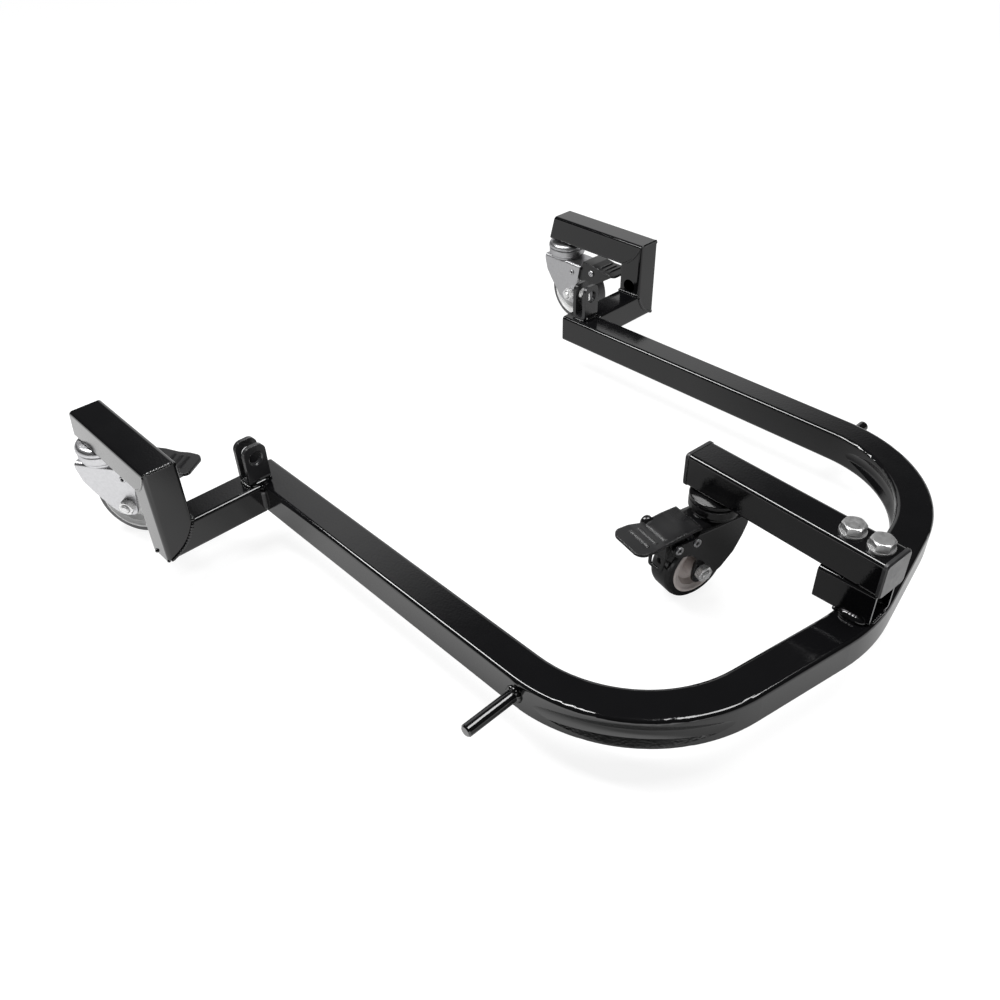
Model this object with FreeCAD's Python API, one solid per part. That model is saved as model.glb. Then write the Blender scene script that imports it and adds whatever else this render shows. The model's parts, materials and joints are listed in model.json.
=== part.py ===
import FreeCAD, Part
import math
import os

from FreeCAD import Placement, Rotation, Vector

# Motorcycle mover dolly: a pointed U of square tube that rolls on three braked swivel casters.
# Lengths are in millimetres, angles in degrees. X runs across, Y towards the open end, Z up.
# The origin lies on the floor, in the middle of the length and of the width.

# Square tube of the frame, the outriggers, the riser and the centre arm
tube_size = 30.0
tube_wall = 2.0
tube_corner_radius = 3.5
end_plate_thickness = 2.0

# Pointed U frame, measured from the point where its two sloping outer faces would meet
frame_width = 450.0
frame_length = 500.0
closed_end_slope = 11.0
corner_bend_radius = 120.0
point_bend_radius = 145.0

# Hollows that the bender leaves in both walls of the corner bends
hollow_depth = 5.5
hollow_half_height = 11.0
hollow_round_radius = 12.0
hollow_length_share = 0.9
hollow_overrun_share = 1.1

# Outriggers that carry the side casters beside the open end
outrigger_reach = 98.0
top_tube_slant = 15.0
side_kingpin_setback = 16.0
pedal_swing_room = 8.0
level_washer_radius = 11.0
level_washer_thickness = 1.5
upright_hole_radius = 8.0
upright_hole_rise = 9.0

# Riser and centre arm, clamped together by two bolts
riser_offset = 5.5
riser_setback = 5.5
riser_length = 46.5
arm_yaw = 4.1
arm_near_length = 27.0
arm_overhang = 24.0
centre_kingpin_reach = 131.0
clamp_bolt_spacing = 23.0

# Plastic caps in the ends of the centre arm
cap_lip = 3.6
cap_overhang = 0.7
cap_edge = 1.2
cap_plug_length = 5.0
cap_plug_wall = 2.0
cap_clearance = 0.15

# Hexagon bolts and nuts of the clamp and of the kingpins
bolt_radius = 5.0
bolt_flats = 16.0
bolt_head_height = 6.4
bolt_nut_height = 8.0
bolt_washer_radius = 10.0
bolt_washer_thickness = 2.0
bolt_hole_clearance = 0.4
thread_show = 2.0

# Clevis brackets beside the open end
clevis_width = 21.5
clevis_depth = 18.0
clevis_height = 40.6
clevis_wall = 4.0
clevis_bend_radius = 7.5
clevis_corner_radius = 7.5
clevis_hole_radius = 5.75
clevis_hole_rise = 27.8
clevis_hole_chamfer = 1.2
clevis_setback = 10.0
left_clevis_inset = 1.0
right_clevis_inset = 13.0

# Lever pins on the outside of the arms, just before the corner bends end
lever_pin_radius = 5.0
left_lever_pin_length = 46.0
right_lever_pin_length = 24.0
lever_pin_chamfer = 1.2
lever_pin_back = 4.0

# Wheels
side_wheel_radius = 36.0
centre_wheel_radius = 31.0
wheel_width = 24.0
tyre_depth = 10.0
rim_depth = 2.5
rim_width = 21.0
web_thickness = 11.0
web_fall = 3.0
hub_radius = 9.5
bush_wall = 2.0
axle_radius = 4.0
axle_flats = 13.0
axle_head_height = 5.3
axle_nut_height = 6.5
caster_trail = 22.7
tyre_profile_shares = [(0, 0.90), (0.40, 1.0), (0.78, 0.95), (0.94, 0.84), (1.0, 0.66)]

# Forks: height over the side wheels, sheet and outlines
wheel_headroom = 2.5
wheel_side_gap = 2.5
fork_sheet = 2.5
fork_corner_radius = 7.0
side_fork_reach = 44.0
side_fork_bend_radius = 3.5
side_fork_back = 38.0
centre_fork_reach = 46.7
centre_fork_bend_radius = 7.0
centre_fork_back = 25.0

# Outlines of the fork cheeks from the top front corner round to the top back corner, as shares of
# the reach ahead of the axle and of the rise above it
side_fork_outline_shares = [
    (1.0, 0.84), (0.92, 0.51), (0.70, 0.19), (0.42, -0.15), (0.26, -0.28), (-0.14, -0.28), (-0.18, 0.05)
]
centre_fork_outline_shares = [
    (1.0, 0.70), (0.90, 0.44), (0.74, 0.13), (0.48, -0.13), (0.25, -0.25), (-0.18, -0.25),
    (-0.17, 0.12), (-0.12, 0.33), (-0.26, 0.48), (-0.60, 0.58), (-0.72, 0.74), (-0.66, 0.84), (-0.20, 0.84),
]
centre_fork_top_front_share = 0.89

# Swivel head between the fork and the tube above
crown_radius = 20.0
crown_lip_radius = 22.0
crown_wall = 3.0
crown_height = 11.7
crown_cup_depth = 2.7
crown_edge = 1.0
crown_round_radius = 2.6
crown_lip_shares = (0.14, 0.30, 0.88)
swivel_gap = 1.3
dish_radius = 22.0
dish_flat_radius = 12.0
dish_height = 5.5
dish_lip_height = 3.0
dish_lip_width = 2.0
dish_round_radius = 1.4
dish_lip_depth = 1.5
thrust_ring_radius = 18.0
thrust_ring_width = 7.0
kingpin_shoulder_radius = 7.0
kingpin_head_radius = 11.0
kingpin_head_height = 3.0

# Brake pedals and shoes
pedal_reach = 91.0
pedal_gap = 2.0
side_pedal_lift = 5.5
centre_pedal_lift = 2.0
pedal_dip = 2.0
pedal_sheet = 2.5
centre_neck_width = 33.0
side_tip_width = 31.0
centre_tip_width = 38.0
pedal_corner_radius = 9.0
pedal_cheek_sheet = 1.5
pedal_cheek_back = 8.0
centre_cheek_front = 36.0
skirt_place = 55.0
skirt_depth = 22.0
skirt_tip_gap = 2.0
pedal_boss_radius = 4.5
side_fall_shares = [(0, 0), (0.30, 0), (0.55, 0.9), (0.75, 1.2), (1.0, 2.0)]
centre_fall_shares = [(0, 0), (0.25, 0), (0.56, 1.0), (0.72, 0.4), (1.0, 0)]
pedal_plan_shares = (0.55, 0.74)
pedal_rib_radius = 1.6
pedal_rib_sink = 0.7
pedal_rib_places_shares = (0.52, 0.66, 0.78)
pedal_rib_width_share = 0.7
shoe_half_length = 4.5
shoe_tail = 7.0
shoe_side_gap = 1.0
shoe_angle = 40.0
side_brake_gap = 4.6
centre_brake_gap = 2.2
rivet_radius = 3.0
rivet_bore_radius = 1.5
rivet_head_radius = 3.9
rivet_head_height = 1.5
side_rivet_place = 25.0
side_rivet_drop = 8.9
front_rivet_place = 31.0
front_rivet_drop = 9.5
rear_rivet_place = 49.3
rear_rivet_drop = 9.5

# Turning of each caster from the X axis, as the dolly stands
left_caster_angle = -57.0
right_caster_angle = -91.0
centre_caster_angle = 167.0

# Fits and small allowances
running_clearance = 0.05
side_clearance = 0.3
cut_overrun = 1.0
point_tolerance = 1e-6

# Heights of the caster from the floor up, which carry the frame
fork_underside = 2 * side_wheel_radius + wheel_headroom
fork_top = fork_underside + fork_sheet
crown_top = fork_top + crown_height
crown_floor_top = crown_top - crown_cup_depth
crown_floor_underside = crown_floor_top - crown_wall
dish_bottom = crown_top + swivel_gap
dish_underside = dish_bottom + dish_lip_depth
caster_height = dish_bottom + dish_height

# Heights of the frame
arm_bottom = caster_height
arm_top = arm_bottom + tube_size
frame_top = arm_bottom - tube_size
frame_middle = frame_top - tube_size / 2
top_tube_bottom = arm_bottom + level_washer_thickness
top_tube_middle = top_tube_bottom + tube_size / 2

# Places along the dolly
top_tube_start = frame_length - tube_size
top_tube_length = tube_size + pedal_reach + pedal_swing_room + side_kingpin_setback
side_kingpin_place = top_tube_start + top_tube_length - side_kingpin_setback
point_y = -(side_kingpin_place + dish_radius) / 2
arm_end_y = point_y + frame_length
outrigger_y = arm_end_y - tube_size / 2
side_kingpin_y = point_y + side_kingpin_place
riser_y = point_y + riser_setback
clamp_centre = Vector(riser_offset, riser_y + riser_length / 2, 0)
arm_far_length = centre_kingpin_reach + arm_overhang

# Places across the dolly
arm_outer_x = frame_width / 2
arm_centre_x = arm_outer_x - tube_size / 2
upright_x = arm_outer_x + outrigger_reach - tube_size / 2

# Lower edge and outward direction of the right top tube's slanting end
slant_angle = math.radians(top_tube_slant)
slant_edge = Vector(upright_x, point_y + top_tube_start + top_tube_length, top_tube_bottom)
slant_direction = Vector(0, math.cos(slant_angle), math.sin(slant_angle))
slant_inside = slant_edge - slant_direction * end_plate_thickness

# Widths of the fork and of what runs inside it
fork_inner_half = wheel_width / 2 + wheel_side_gap
fork_outer_half = fork_inner_half + fork_sheet
cheek_outer = fork_inner_half - side_clearance
cheek_inner = cheek_outer - pedal_cheek_sheet
bush_radius = axle_radius + running_clearance + bush_wall

# Sizes that let a cutting block pass right through a tube or a fork
cut_reach = 4 * tube_size
fork_cut_reach = 4 * side_wheel_radius

up = Vector(0, 0, 1)
across = Vector(1, 0, 0)
along = Vector(0, 1, 0)
origin = Vector(0, 0, 0)


def corner_arc(before, corner, after, radius):
    """Start, middle and end of the arc that rounds a corner, limited by its shorter side."""
    back = before - corner
    ahead = after - corner
    half_angle = back.getAngle(ahead) / 2
    reach = min(radius / math.tan(half_angle), back.Length / 2, ahead.Length / 2)
    fitted = reach * math.tan(half_angle)
    back.normalize()
    ahead.normalize()
    inward = (back + ahead).normalize()
    middle = corner + inward * (fitted / math.sin(half_angle) - fitted)
    return corner + back * reach, middle, corner + ahead * reach


def rounded_wire(points, radii, closed=True):
    """Wire through the points with one radius for each corner."""
    count = len(points)
    arcs = []
    for index, point in enumerate(points):
        if closed or 0 < index < count - 1:
            after = points[(index + 1) % count]
            arcs.append(corner_arc(points[index - 1], point, after, radii[index]))
        else:
            arcs.append((point, point, point))
    edges = []
    for index, (start, middle, end) in enumerate(arcs):
        if not start.isEqual(end, point_tolerance):
            edges.append(Part.Arc(start, middle, end).toShape())
        following = arcs[(index + 1) % count][0]
        last = index == count - 1 and not closed
        if not last and not end.isEqual(following, point_tolerance):
            edges.append(Part.LineSegment(end, following).toShape())
    return Part.Wire(edges)


def side_plate(points, radii, start, end):
    """Plate from an outline of (x, z) points, between two values of y."""
    wire = rounded_wire([Vector(x, start, z) for x, z in points], radii)
    return Part.Face(wire).extrude(along * (end - start))


def turned(profile, roundings=None):
    """Solid turned about Z from a closed outline of (radius, height) points, some of them rounded."""
    points = [Vector(radius, 0, height) for radius, height in profile]
    roundings = roundings or {}
    radii = [roundings.get(index, 0) for index in range(len(points))]
    return Part.Face(rounded_wire(points, radii)).revolve(origin, up, 360)


def rod(radius, start, direction, length):
    """Round bar from a start point."""
    return Part.makeCylinder(radius, length, start, direction)


def hexagon(flats, height):
    """Hexagon prism on Z, with two corners along X."""
    corner_radius = flats / math.sqrt(3)
    points = []
    for index in range(7):
        angle = math.radians(60 * index)
        points.append(Vector(math.cos(angle), math.sin(angle), 0) * corner_radius)
    return Part.Face(Part.makePolygon(points)).extrude(up * height)


def nut(flats, height, bore):
    """Hexagon nut on Z, standing on the origin."""
    hole = rod(bore, Vector(0, 0, -cut_overrun), up, height + 2 * cut_overrun)
    return hexagon(flats, height).cut(hole)


def washer(radius, bore, thickness):
    """Flat washer on Z, standing on the origin."""
    hole = rod(bore, Vector(0, 0, -cut_overrun), up, thickness + 2 * cut_overrun)
    return rod(radius, origin, up, thickness).cut(hole)


def moved(shape, place, turn=0, axis=up):
    """Copy of a shape, turned about an axis and then carried to a place."""
    copy = shape.copy()
    copy.Placement = Placement(place, Rotation(axis, turn)).multiply(shape.Placement)
    return copy


def mirrored(shape):
    """Copy of a shape on the other side of the middle plane."""
    return shape.mirror(origin, across)


def tube_wire(inset=0):
    """Rounded square across Y, set in from the outside of the tube."""
    half = tube_size / 2 - inset
    corners = [Vector(-half, 0, -half), Vector(half, 0, -half), Vector(half, 0, half), Vector(-half, 0, half)]
    return rounded_wire(corners, [tube_corner_radius - inset] * 4)


def straight_tube(length):
    """Square tube from the origin along Y."""
    outside = Part.Face(tube_wire()).extrude(along * length)
    inside = Part.Face(tube_wire(tube_wall)).extrude(along * length)
    return outside.cut(inside)


def end_plate(thickness):
    """Plate with the tube's own outline, from the origin along Y."""
    return Part.Face(tube_wire()).extrude(along * thickness)


def without_side(shape, place, direction):
    """Shape without what lies on the given side of a plane."""
    block = Part.makeBox(cut_reach, cut_reach, cut_reach, Vector(-cut_reach / 2, -cut_reach / 2, 0))
    block.Placement = Placement(place, Rotation(up, direction))
    return shape.cut(block)


# Places of the closed end's bends on the tube's centre line
slope_angle = math.radians(closed_end_slope)
point_centre_y = point_y + tube_size / 2 / math.cos(slope_angle)
corner_centre_y = point_centre_y + arm_centre_x * math.tan(slope_angle)
corner_turn = math.radians(90 - closed_end_slope)
bend_end_y = corner_centre_y + corner_bend_radius * math.tan(corner_turn / 2)


def bend_hollow(wall_radius, side, inset):
    """Wedge that hollows the right corner bend's outer (side 1) or inner (side -1) wall.

    It runs on an arc of its own, so that it is deepest in the middle of the bend and fades out at its ends.
    The inset moves it into the tube, to leave a wall behind it.
    """
    tip_radius = wall_radius - side * hollow_depth
    end_angle = hollow_length_share * corner_turn / 2
    gap = tip_radius - wall_radius * math.cos(end_angle)
    shift = hollow_depth * (wall_radius + tip_radius) / 2 / gap
    radius = tip_radius + side * shift
    centre = Vector(arm_centre_x - corner_bend_radius, bend_end_y, frame_middle)
    middle_way = Vector(math.cos(corner_turn / 2), -math.sin(corner_turn / 2), 0)
    end_across = wall_radius * math.sin(end_angle)
    end_along = wall_radius * math.cos(end_angle) + side * shift
    half_turn = math.degrees(math.atan2(end_across, end_along) * hollow_overrun_share)
    slope = hollow_half_height / hollow_depth
    tip = radius - side * inset * math.sqrt(1 + 1 / slope ** 2)
    reach = 2 * hollow_depth
    mouth = tip + side * reach
    points = [Vector(tip, 0, 0), Vector(mouth, 0, slope * reach), Vector(mouth, 0, -slope * reach)]
    wire = rounded_wire(points, [hollow_round_radius + inset, 0, 0])
    wedge = Part.Face(wire).revolve(origin, up, 2 * half_turn)
    turn = math.degrees(math.atan2(middle_way.y, middle_way.x)) - half_turn
    return moved(wedge, centre - middle_way * (side * shift), turn)


def u_frame():
    """Tube bent at both corners and at the point of the closed end."""
    tube_end_y = arm_end_y - end_plate_thickness
    line = [
        Vector(arm_centre_x, tube_end_y, frame_middle),
        Vector(arm_centre_x, corner_centre_y, frame_middle),
        Vector(0, point_centre_y, frame_middle),
        Vector(-arm_centre_x, corner_centre_y, frame_middle),
        Vector(-arm_centre_x, tube_end_y, frame_middle),
    ]
    radii = [0, corner_bend_radius, point_bend_radius, corner_bend_radius, 0]
    path = rounded_wire(line, radii, closed=False)
    outside = path.makePipeShell([moved(tube_wire(), line[0])], True, False)
    inside = path.makePipeShell([moved(tube_wire(tube_wall), line[0])], True, False)
    tube = outside.cut(inside)
    for side in (-1, 1):
        wall_radius = corner_bend_radius + side * tube_size / 2
        liner = bend_hollow(wall_radius, side, tube_wall).common(outside)
        wedge = bend_hollow(wall_radius, side, 0)
        tube = tube.fuse([liner, mirrored(liner)]).cut([wedge, mirrored(wedge)])
    return tube.removeSplitter()


def arm_end_plate():
    """Plate that closes the right arm's end."""
    place = Vector(arm_centre_x, arm_end_y - end_plate_thickness, frame_middle)
    return moved(end_plate(end_plate_thickness), place)


def cross_tube():
    """Tube from the right arm out to the upright, mitred at its outer end."""
    tube = straight_tube(outrigger_reach)
    tube = moved(tube, Vector(arm_outer_x, outrigger_y, frame_middle), -90)
    return without_side(tube, Vector(upright_x, 0, frame_middle) + along * outrigger_y, across + up)


def upright():
    """Right upright, mitred to the cross tube and to the top tube, with a round hole inside."""
    bottom = frame_top - tube_size
    height = top_tube_bottom + tube_size - bottom
    tube = moved(straight_tube(height), Vector(upright_x, outrigger_y, bottom), 90, across)
    tube = without_side(tube, Vector(upright_x, outrigger_y, frame_middle), -across - up)
    tube = without_side(tube, Vector(upright_x, outrigger_y, top_tube_middle), along + up)
    hole_start = Vector(upright_x - tube_size / 2 - cut_overrun, outrigger_y, frame_top + upright_hole_rise)
    return tube.cut(rod(upright_hole_radius, hole_start, across, tube_wall + 2 * cut_overrun))


def top_tube():
    """Right top tube, which holds the side caster's kingpin and slants at its far end."""
    start = Vector(upright_x, point_y + top_tube_start, top_tube_middle)
    tube = moved(straight_tube(top_tube_length), start)
    tube = without_side(tube, Vector(upright_x, outrigger_y, top_tube_middle), -along - up)
    tube = without_side(tube, slant_inside, slant_direction)
    hole_start = Vector(upright_x, side_kingpin_y, top_tube_bottom - cut_overrun)
    return tube.cut(rod(bolt_radius + bolt_hole_clearance, hole_start, up, tube_wall + 2 * cut_overrun))


def top_tube_end():
    """Slanting plate that closes the right top tube."""
    start = slant_edge - along * tube_size + up * (tube_size / 2)
    plate = without_side(moved(end_plate(tube_size), start), slant_edge, slant_direction)
    return without_side(plate, slant_inside, -slant_direction)


def clevis():
    """Bent U bracket on Z with its ears across Y, and a pin hole through both ears."""
    half_width = clevis_width / 2
    half_depth = clevis_depth / 2
    slot_half = half_depth - clevis_wall
    bend = [Vector(-half_width, -half_depth, clevis_height), Vector(-half_width, -half_depth, 0)]
    bend += [Vector(-half_width, half_depth, 0), Vector(-half_width, half_depth, clevis_height)]
    bend += [Vector(-half_width, slot_half, clevis_height), Vector(-half_width, slot_half, clevis_wall)]
    bend += [Vector(-half_width, -slot_half, clevis_wall), Vector(-half_width, -slot_half, clevis_height)]
    inner_bend_radius = clevis_bend_radius - clevis_wall
    radii = [0, clevis_bend_radius, clevis_bend_radius, 0, 0, inner_bend_radius, inner_bend_radius, 0]
    strip = Part.Face(rounded_wire(bend, radii)).extrude(across * clevis_width)
    ear = [(-half_width, 0), (half_width, 0), (half_width, clevis_height), (-half_width, clevis_height)]
    ear_radii = [0, 0, clevis_corner_radius, clevis_corner_radius]
    bracket = strip.common(side_plate(ear, ear_radii, -half_depth, half_depth))
    hole_start = Vector(0, -half_depth, clevis_hole_rise)
    hole = rod(clevis_hole_radius, hole_start - along * cut_overrun, along, clevis_depth + 2 * cut_overrun)
    bracket = bracket.cut(hole)
    wide = clevis_hole_radius + clevis_hole_chamfer
    for side in (-1, 1):
        mouth = Vector(0, side * half_depth, clevis_hole_rise)
        sink = Part.makeCone(wide, clevis_hole_radius, clevis_hole_chamfer, mouth, along * -side)
        bracket = bracket.cut(sink)
    return bracket


def seated_clevis(side, inset):
    """Clevis on top of an arm, set in from its outer face."""
    place_y = arm_end_y - clevis_setback - clevis_depth / 2
    return moved(clevis(), Vector(side * (arm_outer_x - inset), place_y, frame_top))


def lever_pin(length):
    """Right lever pin, with a chamfered tip."""
    tip = lever_pin_radius - lever_pin_chamfer
    profile = [
        (0, 0),
        (lever_pin_radius, 0),
        (lever_pin_radius, length - lever_pin_chamfer),
        (tip, length),
        (0, length),
    ]
    place = Vector(arm_outer_x, bend_end_y - lever_pin_back, frame_middle)
    return moved(turned(profile), place, 90, along)


def arm_point(reach, height):
    """Point over the centre arm's middle line, measured from the clamp."""
    turn = math.radians(arm_yaw)
    return clamp_centre + Vector(math.sin(turn), math.cos(turn), 0) * reach + up * height


clamp_bolt_reaches = [-clamp_bolt_spacing / 2, clamp_bolt_spacing / 2]
clamp_hole_radius = bolt_radius + bolt_hole_clearance


def riser():
    """Short open tube on the closed end, with the clamp bolts' holes in its upper wall."""
    tube = moved(straight_tube(riser_length), Vector(riser_offset, riser_y, frame_top + tube_size / 2))
    for reach in clamp_bolt_reaches:
        start = arm_point(reach, arm_bottom - tube_wall - cut_overrun)
        tube = tube.cut(rod(clamp_hole_radius, start, up, tube_wall + 2 * cut_overrun))
    return tube


def centre_arm():
    """Arm over the riser, turned a little, with holes for the clamp bolts and the kingpin."""
    length = arm_near_length + arm_far_length - 2 * cap_lip
    start = arm_point(cap_lip - arm_near_length, arm_bottom + tube_size / 2)
    tube = moved(straight_tube(length), start, -arm_yaw)
    for reach in clamp_bolt_reaches:
        start = arm_point(reach, arm_bottom - cut_overrun)
        tube = tube.cut(rod(clamp_hole_radius, start, up, tube_size + 2 * cut_overrun))
    start = arm_point(centre_kingpin_reach, arm_bottom - cut_overrun)
    return tube.cut(rod(clamp_hole_radius, start, up, tube_wall + 2 * cut_overrun))


def arm_cap():
    """Cap with its lip before the origin and its hollow plug along Y."""
    lip = Part.Face(tube_wire(-cap_overhang)).extrude(along * cap_lip)
    face_edges = [edge for edge in lip.Edges if edge.BoundBox.YMax < point_tolerance]
    lip = lip.makeChamfer(cap_edge, face_edges)
    plug_inset = tube_wall + cap_clearance
    plug = Part.Face(tube_wire(plug_inset)).extrude(along * cap_plug_length)
    half_room = tube_size / 2 - plug_inset - cap_plug_wall
    corner = Vector(-half_room, 0, -half_room)
    room = Part.makeBox(2 * half_room, cap_plug_length, 2 * half_room, corner)
    return lip.fuse(moved(plug.cut(room), along * cap_lip)).removeSplitter()


def near_arm_cap():
    """Cap over the closed end of the frame."""
    return moved(arm_cap(), arm_point(-arm_near_length, arm_bottom + tube_size / 2), -arm_yaw)


def far_arm_cap():
    """Cap beyond the centre caster."""
    return moved(arm_cap(), arm_point(arm_far_length, arm_bottom + tube_size / 2), 180 - arm_yaw)


def clamp_bolts():
    """Two hexagon bolts through the arm and the riser's upper wall."""
    shank_length = bolt_washer_thickness + tube_size + tube_wall + bolt_nut_height + thread_show
    shank = rod(bolt_radius, origin, -up, shank_length)
    bolt = hexagon(bolt_flats, bolt_head_height).fuse(shank)
    height = arm_top + bolt_washer_thickness
    return Part.makeCompound([moved(bolt, arm_point(reach, height)) for reach in clamp_bolt_reaches])


def clamp_washers():
    """Washers under the bolt heads."""
    ring = washer(bolt_washer_radius, bolt_radius + running_clearance, bolt_washer_thickness)
    return Part.makeCompound([moved(ring, arm_point(reach, arm_top)) for reach in clamp_bolt_reaches])


def clamp_nuts():
    """Nuts under the riser's upper wall."""
    piece = nut(bolt_flats, bolt_nut_height, bolt_radius + running_clearance)
    height = arm_bottom - tube_wall - bolt_nut_height
    return Part.makeCompound([moved(piece, arm_point(reach, height)) for reach in clamp_bolt_reaches])


# Casters: where each stands, how it is turned, its mount and its kind of fork
kingpin_places = {
    "left": Vector(-upright_x, side_kingpin_y, 0),
    "right": Vector(upright_x, side_kingpin_y, 0),
    "centre": arm_point(centre_kingpin_reach, 0),
}
caster_angles = {"left": left_caster_angle, "right": right_caster_angle, "centre": centre_caster_angle}
mount_heights = {"left": top_tube_bottom, "right": top_tube_bottom, "centre": arm_bottom}
nut_sides = {"left": -1, "right": -1, "centre": 1}
wheel_radii = {"left": side_wheel_radius, "right": side_wheel_radius, "centre": centre_wheel_radius}


def kingpin_nuts():
    """Nuts inside the tubes, on the casters' kingpins."""
    piece = nut(bolt_flats, bolt_nut_height, bolt_radius + running_clearance)
    seats = [place + up * (mount_heights[name] + tube_wall) for name, place in kingpin_places.items()]
    return Part.makeCompound([moved(piece, seat) for seat in seats])


def level_washers():
    """Washers that bring the side casters level with the centre one."""
    ring = washer(level_washer_radius, bolt_radius + running_clearance, level_washer_thickness)
    seats = [kingpin_places[name] + up * caster_height for name in ("left", "right")]
    return Part.makeCompound([moved(ring, seat) for seat in seats])


def kingpin(mount_height):
    """Kingpin with its threaded stem, its shoulder and the head that holds the fork."""
    stem_top = mount_height + tube_wall + bolt_nut_height + thread_show
    head_top = crown_floor_underside - side_clearance
    head_bottom = head_top - kingpin_head_height
    return turned([
        (0, head_bottom),
        (kingpin_head_radius, head_bottom),
        (kingpin_head_radius, head_top),
        (kingpin_shoulder_radius, head_top),
        (kingpin_shoulder_radius, dish_underside),
        (bolt_radius, dish_underside),
        (bolt_radius, stem_top),
        (0, stem_top),
    ])


def upper_dish():
    """Fixed dish over the swivel, flat where it meets the tube and sloping to its lip."""
    bore = bolt_radius + running_clearance
    recess_radius = dish_radius - dish_lip_width
    return turned([
        (bore, dish_underside),
        (recess_radius, dish_underside),
        (recess_radius, dish_bottom),
        (dish_radius, dish_bottom),
        (dish_radius, dish_bottom + dish_lip_height),
        (dish_flat_radius, caster_height),
        (bore, caster_height),
    ], {4: dish_round_radius})


def thrust_ring():
    """Ring of the swivel bearing, lying in the crown's cup."""
    inner_radius = thrust_ring_radius - thrust_ring_width
    top = dish_underside - side_clearance
    return turned([
        (inner_radius, crown_floor_top),
        (thrust_ring_radius, crown_floor_top),
        (thrust_ring_radius, top),
        (inner_radius, top),
    ])


def fork_crown():
    """Pressed crown on top of the fork, hollow below and cupped above."""
    lip_low, lip_bottom, lip_top = [fork_top + share * crown_height for share in crown_lip_shares]
    bore = kingpin_shoulder_radius + running_clearance
    room_radius = crown_radius - crown_wall
    cup_radius = thrust_ring_radius + crown_edge
    return turned([
        (bore, crown_floor_underside),
        (room_radius, crown_floor_underside),
        (room_radius, fork_top),
        (crown_radius, fork_top),
        (crown_radius, lip_low),
        (crown_lip_radius, lip_bottom),
        (crown_lip_radius, lip_top),
        (crown_lip_radius - crown_edge, crown_top),
        (cup_radius, crown_top),
        (cup_radius, crown_floor_top),
        (bore, crown_floor_top),
    ], {5: crown_round_radius, 6: crown_round_radius})


def fork_outline(shares, reach, top_front, top_back, wheel_radius):
    """Outline of a fork's cheeks, with sharp corners only along the top plate."""
    rise = fork_top - wheel_radius
    points = [(caster_trail - top_front, fork_top)]
    points += [(caster_trail - ahead * reach, wheel_radius + above * rise) for ahead, above in shares]
    points.append((top_back, fork_top))
    return points, [0] + [fork_corner_radius] * len(shares) + [0]


def fork(outline, bend_radius, rivets, wheel_radius):
    """Bent sheet fork with its crown, axle holes and rivet holes."""
    points, radii = outline
    block = side_plate(points, radii, -fork_outer_half, fork_outer_half)
    long_edges = [edge for edge in block.Edges if edge.BoundBox.ZMin > fork_top - point_tolerance]
    long_edges = [edge for edge in long_edges if edge.BoundBox.YLength < point_tolerance]
    block = block.makeFillet(bend_radius, long_edges)
    inner_bend_radius = bend_radius - fork_sheet
    room = [(-fork_inner_half, 0), (fork_inner_half, 0), (fork_inner_half, fork_underside)]
    room.append((-fork_inner_half, fork_underside))
    room_wire = rounded_wire([Vector(0, y, z) for y, z in room], [0, 0, inner_bend_radius, inner_bend_radius])
    room_solid = Part.Face(room_wire).extrude(across * fork_cut_reach)
    sheet = block.cut(moved(room_solid, across * (-fork_cut_reach / 2)))
    opening_radius = kingpin_head_radius + crown_wall
    opening_start = up * (fork_underside - cut_overrun)
    sheet = sheet.cut(rod(opening_radius, opening_start, up, fork_sheet + 2 * cut_overrun))
    holes = [(caster_trail, wheel_radius, axle_radius)]
    holes += [(place, height, rivet_radius) for place, height in rivets]
    for place, height, radius in holes:
        start = Vector(place, -fork_outer_half - cut_overrun, height)
        hole = rod(radius + running_clearance, start, along, 2 * (fork_outer_half + cut_overrun))
        sheet = sheet.cut(hole)
    return sheet.fuse(fork_crown()).removeSplitter()


def on_axle(shape, wheel_radius):
    """Shape turned from Z onto the axle of a wheel."""
    return moved(shape, Vector(caster_trail, 0, wheel_radius), -90, across)


def tyre(wheel_radius):
    """Tread ring with rounded shoulders."""
    inner = wheel_radius - tyre_depth + running_clearance
    depth = wheel_radius - inner
    half = wheel_width / 2
    side = [(inner + out * depth, wide * half) for out, wide in tyre_profile_shares]
    profile = side + [(radius, -width) for radius, width in reversed(side)]
    return on_axle(turned(profile), wheel_radius)


def wheel_core(wheel_radius):
    """Moulded core with a rim, a web in a shallow dish and a long hub."""
    bore = bush_radius + running_clearance
    rim_outer = wheel_radius - tyre_depth
    rim_inner = rim_outer - rim_depth
    hub_half = fork_inner_half - side_clearance
    half = [
        (bore, hub_half),
        (hub_radius, hub_half),
        (hub_radius, web_thickness / 2),
        (rim_inner - web_fall, web_thickness / 2),
        (rim_inner, rim_width / 2),
        (rim_outer, rim_width / 2),
    ]
    return on_axle(turned(half + [(radius, -width) for radius, width in reversed(half)]), wheel_radius)


def axle_bush(wheel_radius):
    """Bush that the fork clamps and the wheel turns on."""
    bush = washer(bush_radius, axle_radius + running_clearance, 2 * fork_inner_half)
    return on_axle(moved(bush, up * -fork_inner_half), wheel_radius)


def axle_bolt(nut_side, wheel_radius):
    """Axle bolt with its head on the side away from the nut."""
    length = 2 * fork_outer_half + axle_nut_height + thread_show
    shank = rod(axle_radius, origin, up, length)
    bolt = hexagon(axle_flats, axle_head_height)
    bolt = moved(bolt, up * -axle_head_height).fuse(shank)
    bolt = moved(bolt, up * -fork_outer_half)
    return on_axle(moved(bolt, origin, 0 if nut_side > 0 else 180, across), wheel_radius)


def axle_nut(nut_side, wheel_radius):
    """Nut on the axle bolt."""
    piece = moved(nut(axle_flats, axle_nut_height, axle_radius + running_clearance), up * fork_outer_half)
    return on_axle(moved(piece, origin, 0 if nut_side > 0 else 180, across), wheel_radius)


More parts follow.
